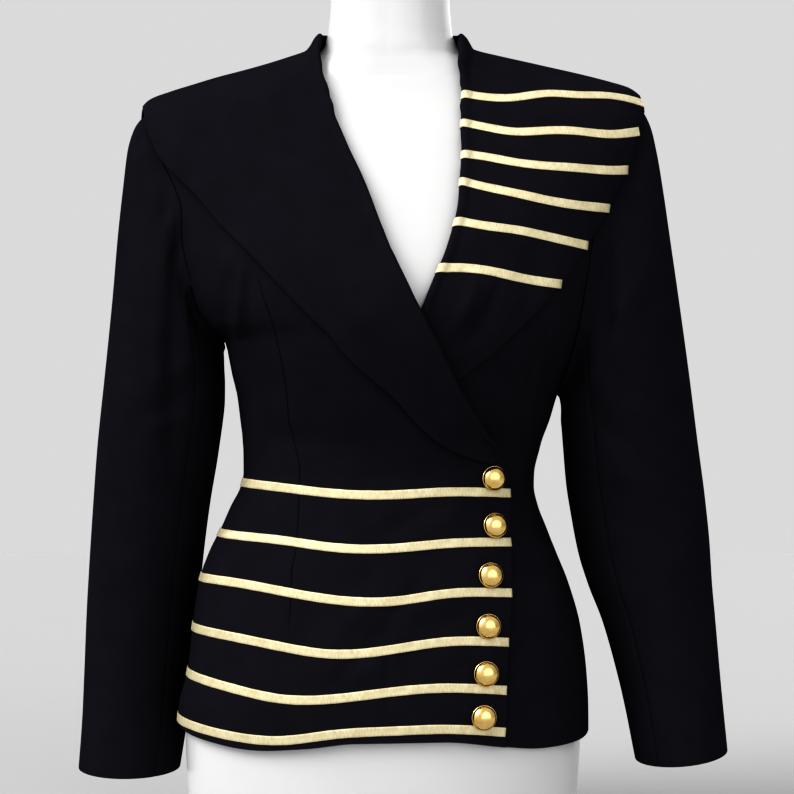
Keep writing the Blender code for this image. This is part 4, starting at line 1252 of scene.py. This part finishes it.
def ribs_across(tree, source, direction, scale, distortion):
    return add_node(tree, "ShaderNodeTexWave", "Fac", bands_direction=direction, Vector=source,
                    Scale=scale, Distortion=distortion)


def ramp(tree, factor, stops):
    """Colours between stops, each a place and a colour."""
    node = add_node(tree, "ShaderNodeValToRGB", Fac=factor)
    for _ in stops[2:]:
        node.color_ramp.elements.new(0.5)
    for element, (position, colour) in zip(node.color_ramp.elements, stops):
        element.position = position
        element.color = (*colour, 1.0)
    return node.outputs["Color"]


def stretched(tree, source, scale):
    return add_node(tree, "ShaderNodeMapping", "Vector", Vector=source, Scale=scale)


def arithmetic(tree, operation, *values):
    node = add_node(tree, "ShaderNodeMath", operation=operation)
    for value, socket in zip(values, node.inputs):
        feed(tree, value, socket)
    return node.outputs["Value"]


def bump(tree, shader, height, distance):
    normal = add_node(tree, "ShaderNodeBump", "Normal", Height=height, Distance=distance, Strength=1.0)
    feed(tree, normal, shader.inputs["Normal"])


def mottle(tree, shader, factor, low, high, start=0.3, end=0.7):
    """Colours a surface from a low colour to a high one by a factor."""
    colour = ramp(tree, factor, [(start, low), (end, high)])
    feed(tree, colour, shader.inputs["Base Color"])


def wool_material():
    """Fine black wool: a close twill, a little mottled, with a soft short nap."""
    material, tree, shader = new_material("black wool cloth", BLACK, roughness=0.8, specular=0.0)
    places = coordinates(tree, "UV")
    uneven = noise(tree, coordinates(tree, "Object"), scale=38.0, detail=4.0)
    mottle(tree, shader, uneven, BLACK_LOW, BLACK_HIGH)
    ribs = ribs_across(tree, places, "DIAGONAL", TWILL_SCALE, distortion=0.8)
    nap = noise(tree, stretched(tree, places, (1400.0, 900.0, 900.0)), scale=1.0, detail=2.0)
    height = arithmetic(tree, "ADD", arithmetic(tree, "MULTIPLY", ribs, 0.6), nap)
    bump(tree, shader, height, distance=0.00008)
    return material


def braid_material():
    """Flat braid of gold metal thread: fine threads across it, some brighter than others."""
    material, tree, shader = new_material(
        "gold thread braid", BRAID_MIDDLE, roughness=0.42, metallic=0.35)
    places = coordinates(tree, "UV")
    threads = noise(tree, stretched(tree, places, (1500.0, 160.0, 1.0)), scale=1.0, detail=2.0)
    cloudy = noise(tree, stretched(tree, places, (90.0, 60.0, 1.0)), scale=1.0)
    mixed = arithmetic(tree, "ADD", arithmetic(tree, "MULTIPLY", threads, 0.6),
                       arithmetic(tree, "MULTIPLY", cloudy, 0.4))
    mottle(tree, shader, mixed, BRAID_LOW, BRAID_HIGH, start=0.32, end=0.62)
    ribs = ribs_across(tree, places, "X", THREAD_SCALE, distortion=1.5)
    bump(tree, shader, arithmetic(tree, "ADD", ribs, threads), distance=0.00012)
    return material


def metal_material():
    """Polished gold plate with the faint waves and rubbing of a pressed button."""
    material, tree, shader = new_material("polished gold metal", GOLD, roughness=0.2, metallic=1.0)
    shader.inputs["Specular Tint"].default_value = (*GOLD_EDGE, 1.0)
    places = coordinates(tree, "Object")
    worn = noise(tree, places, scale=260.0, detail=4.0)
    mottle(tree, shader, worn, GOLD_LOW, GOLD, start=0.25, end=0.6)
    rubbed = add_node(tree, "ShaderNodeMapRange", "Result", Value=worn, To_Min=0.16, To_Max=0.28)
    feed(tree, rubbed, shader.inputs["Roughness"])
    bump(tree, shader, noise(tree, places, scale=150.0, detail=2.0), distance=0.00012)
    return material


def gloss_material():
    """White glossy moulded plastic, slightly uneven where it was polished."""
    material, tree, shader = new_material("white glossy plastic", WHITE, roughness=0.28)
    shader.inputs["Coat Weight"].default_value = 0.3
    shader.inputs["Coat Roughness"].default_value = 0.12
    places = coordinates(tree, "Object")
    mottle(tree, shader, noise(tree, places, scale=9.0), WHITE_LOW, WHITE)
    bump(tree, shader, noise(tree, places, scale=30.0, detail=2.0), distance=0.0002)
    return material


# ---- studio


def make_camera():
    """The photograph's view: level, square to the front, from just over two metres."""
    data = bpy.data.cameras.new("camera")
    data.sensor_width = 36.0
    data.lens = CAMERA_LENS
    data.clip_end = 60.0
    camera = placed("camera", data)
    camera.location = CAMERA_PLACE
    camera.rotation_euler = (math.radians(90), 0.0, 0.0)
    bpy.context.scene.camera = camera


def make_lights():
    """Soft broad lights from the front left, the front right and behind."""
    for name, strength, spread, tilt, turn in LIGHTS:
        data = bpy.data.lights.new(name, "SUN")
        data.energy = strength
        data.angle = math.radians(spread)
        placed(name, data).rotation_euler = (math.radians(tilt), 0.0, math.radians(turn))


def make_studio():
    """The pale room round the object, and how its light becomes a picture."""
    world = bpy.data.worlds.new("studio")
    world.use_nodes = True
    tree = world.node_tree
    side = add_node(tree, "ShaderNodeVectorMath", operation="DOT_PRODUCT")
    feed(tree, coordinates(tree, "Generated"), side.inputs[0])
    tilt = math.radians(STUDIO_TILT)
    feed(tree, (-math.cos(tilt), 0.0, math.sin(tilt)), side.inputs[1])
    place = add_node(tree, "ShaderNodeMapRange", "Result", Value=side.outputs["Value"], From_Min=-1.0)
    walls = ramp(tree, place, [(position, [brightness] * 3) for position, brightness in STUDIO])
    feed(tree, walls, tree.nodes["Background"].inputs["Color"])
    bpy.context.scene.world = world
    bpy.context.scene.view_settings.view_transform = "Standard"
    bpy.context.scene.view_settings.look = "Very High Contrast"


def make_floor():
    """A round pale floor just below the form's base."""
    material, tree, shader = new_material("pale floor", FLOOR_GREY, roughness=0.9, specular=0.1)
    low = [0.995 * value for value in FLOOR_GREY]
    mottle(tree, shader, noise(tree, coordinates(tree, "Object"), scale=2.0), low, FLOOR_GREY)
    mesh = bpy.data.meshes.new("floor")
    rim = []
    for step in range(FLOOR_SIDES):
        angle = 2 * math.pi * step / FLOOR_SIDES
        rim.append((FLOOR_RADIUS * math.cos(angle), FLOOR_RADIUS * math.sin(angle), 0.0))
    mesh.from_pydata(rim, [], [list(range(FLOOR_SIDES))])
    mesh.materials.append(material)
    floor = placed("floor", mesh)
    floor.location.z = FLOOR_HEIGHT


# ---- the scene


def corners(bounds):
    return [[float(value) for value in corner] for corner in bounds]


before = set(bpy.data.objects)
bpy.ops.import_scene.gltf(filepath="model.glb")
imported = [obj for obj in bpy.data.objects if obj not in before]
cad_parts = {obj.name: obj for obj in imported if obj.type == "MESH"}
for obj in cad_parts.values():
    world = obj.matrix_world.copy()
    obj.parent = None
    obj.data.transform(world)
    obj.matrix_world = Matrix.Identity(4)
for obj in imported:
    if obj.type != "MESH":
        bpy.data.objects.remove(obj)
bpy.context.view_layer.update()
make_camera()
make_lights()
make_studio()
make_floor()
wool = (wool_material(), WOOL_SLOT)
for side in ("right", "left"):
    make_body(side, wool)
    make_sleeve(side, wool)
    make_collar(side, wool)
braid = (braid_material(), BRAID_SLOT)
make_hip_braids(braid)
make_collar_braids(braid)
make_buttons((metal_material(), METAL_SLOT))
make_form((gloss_material(), FORM_SLOT))
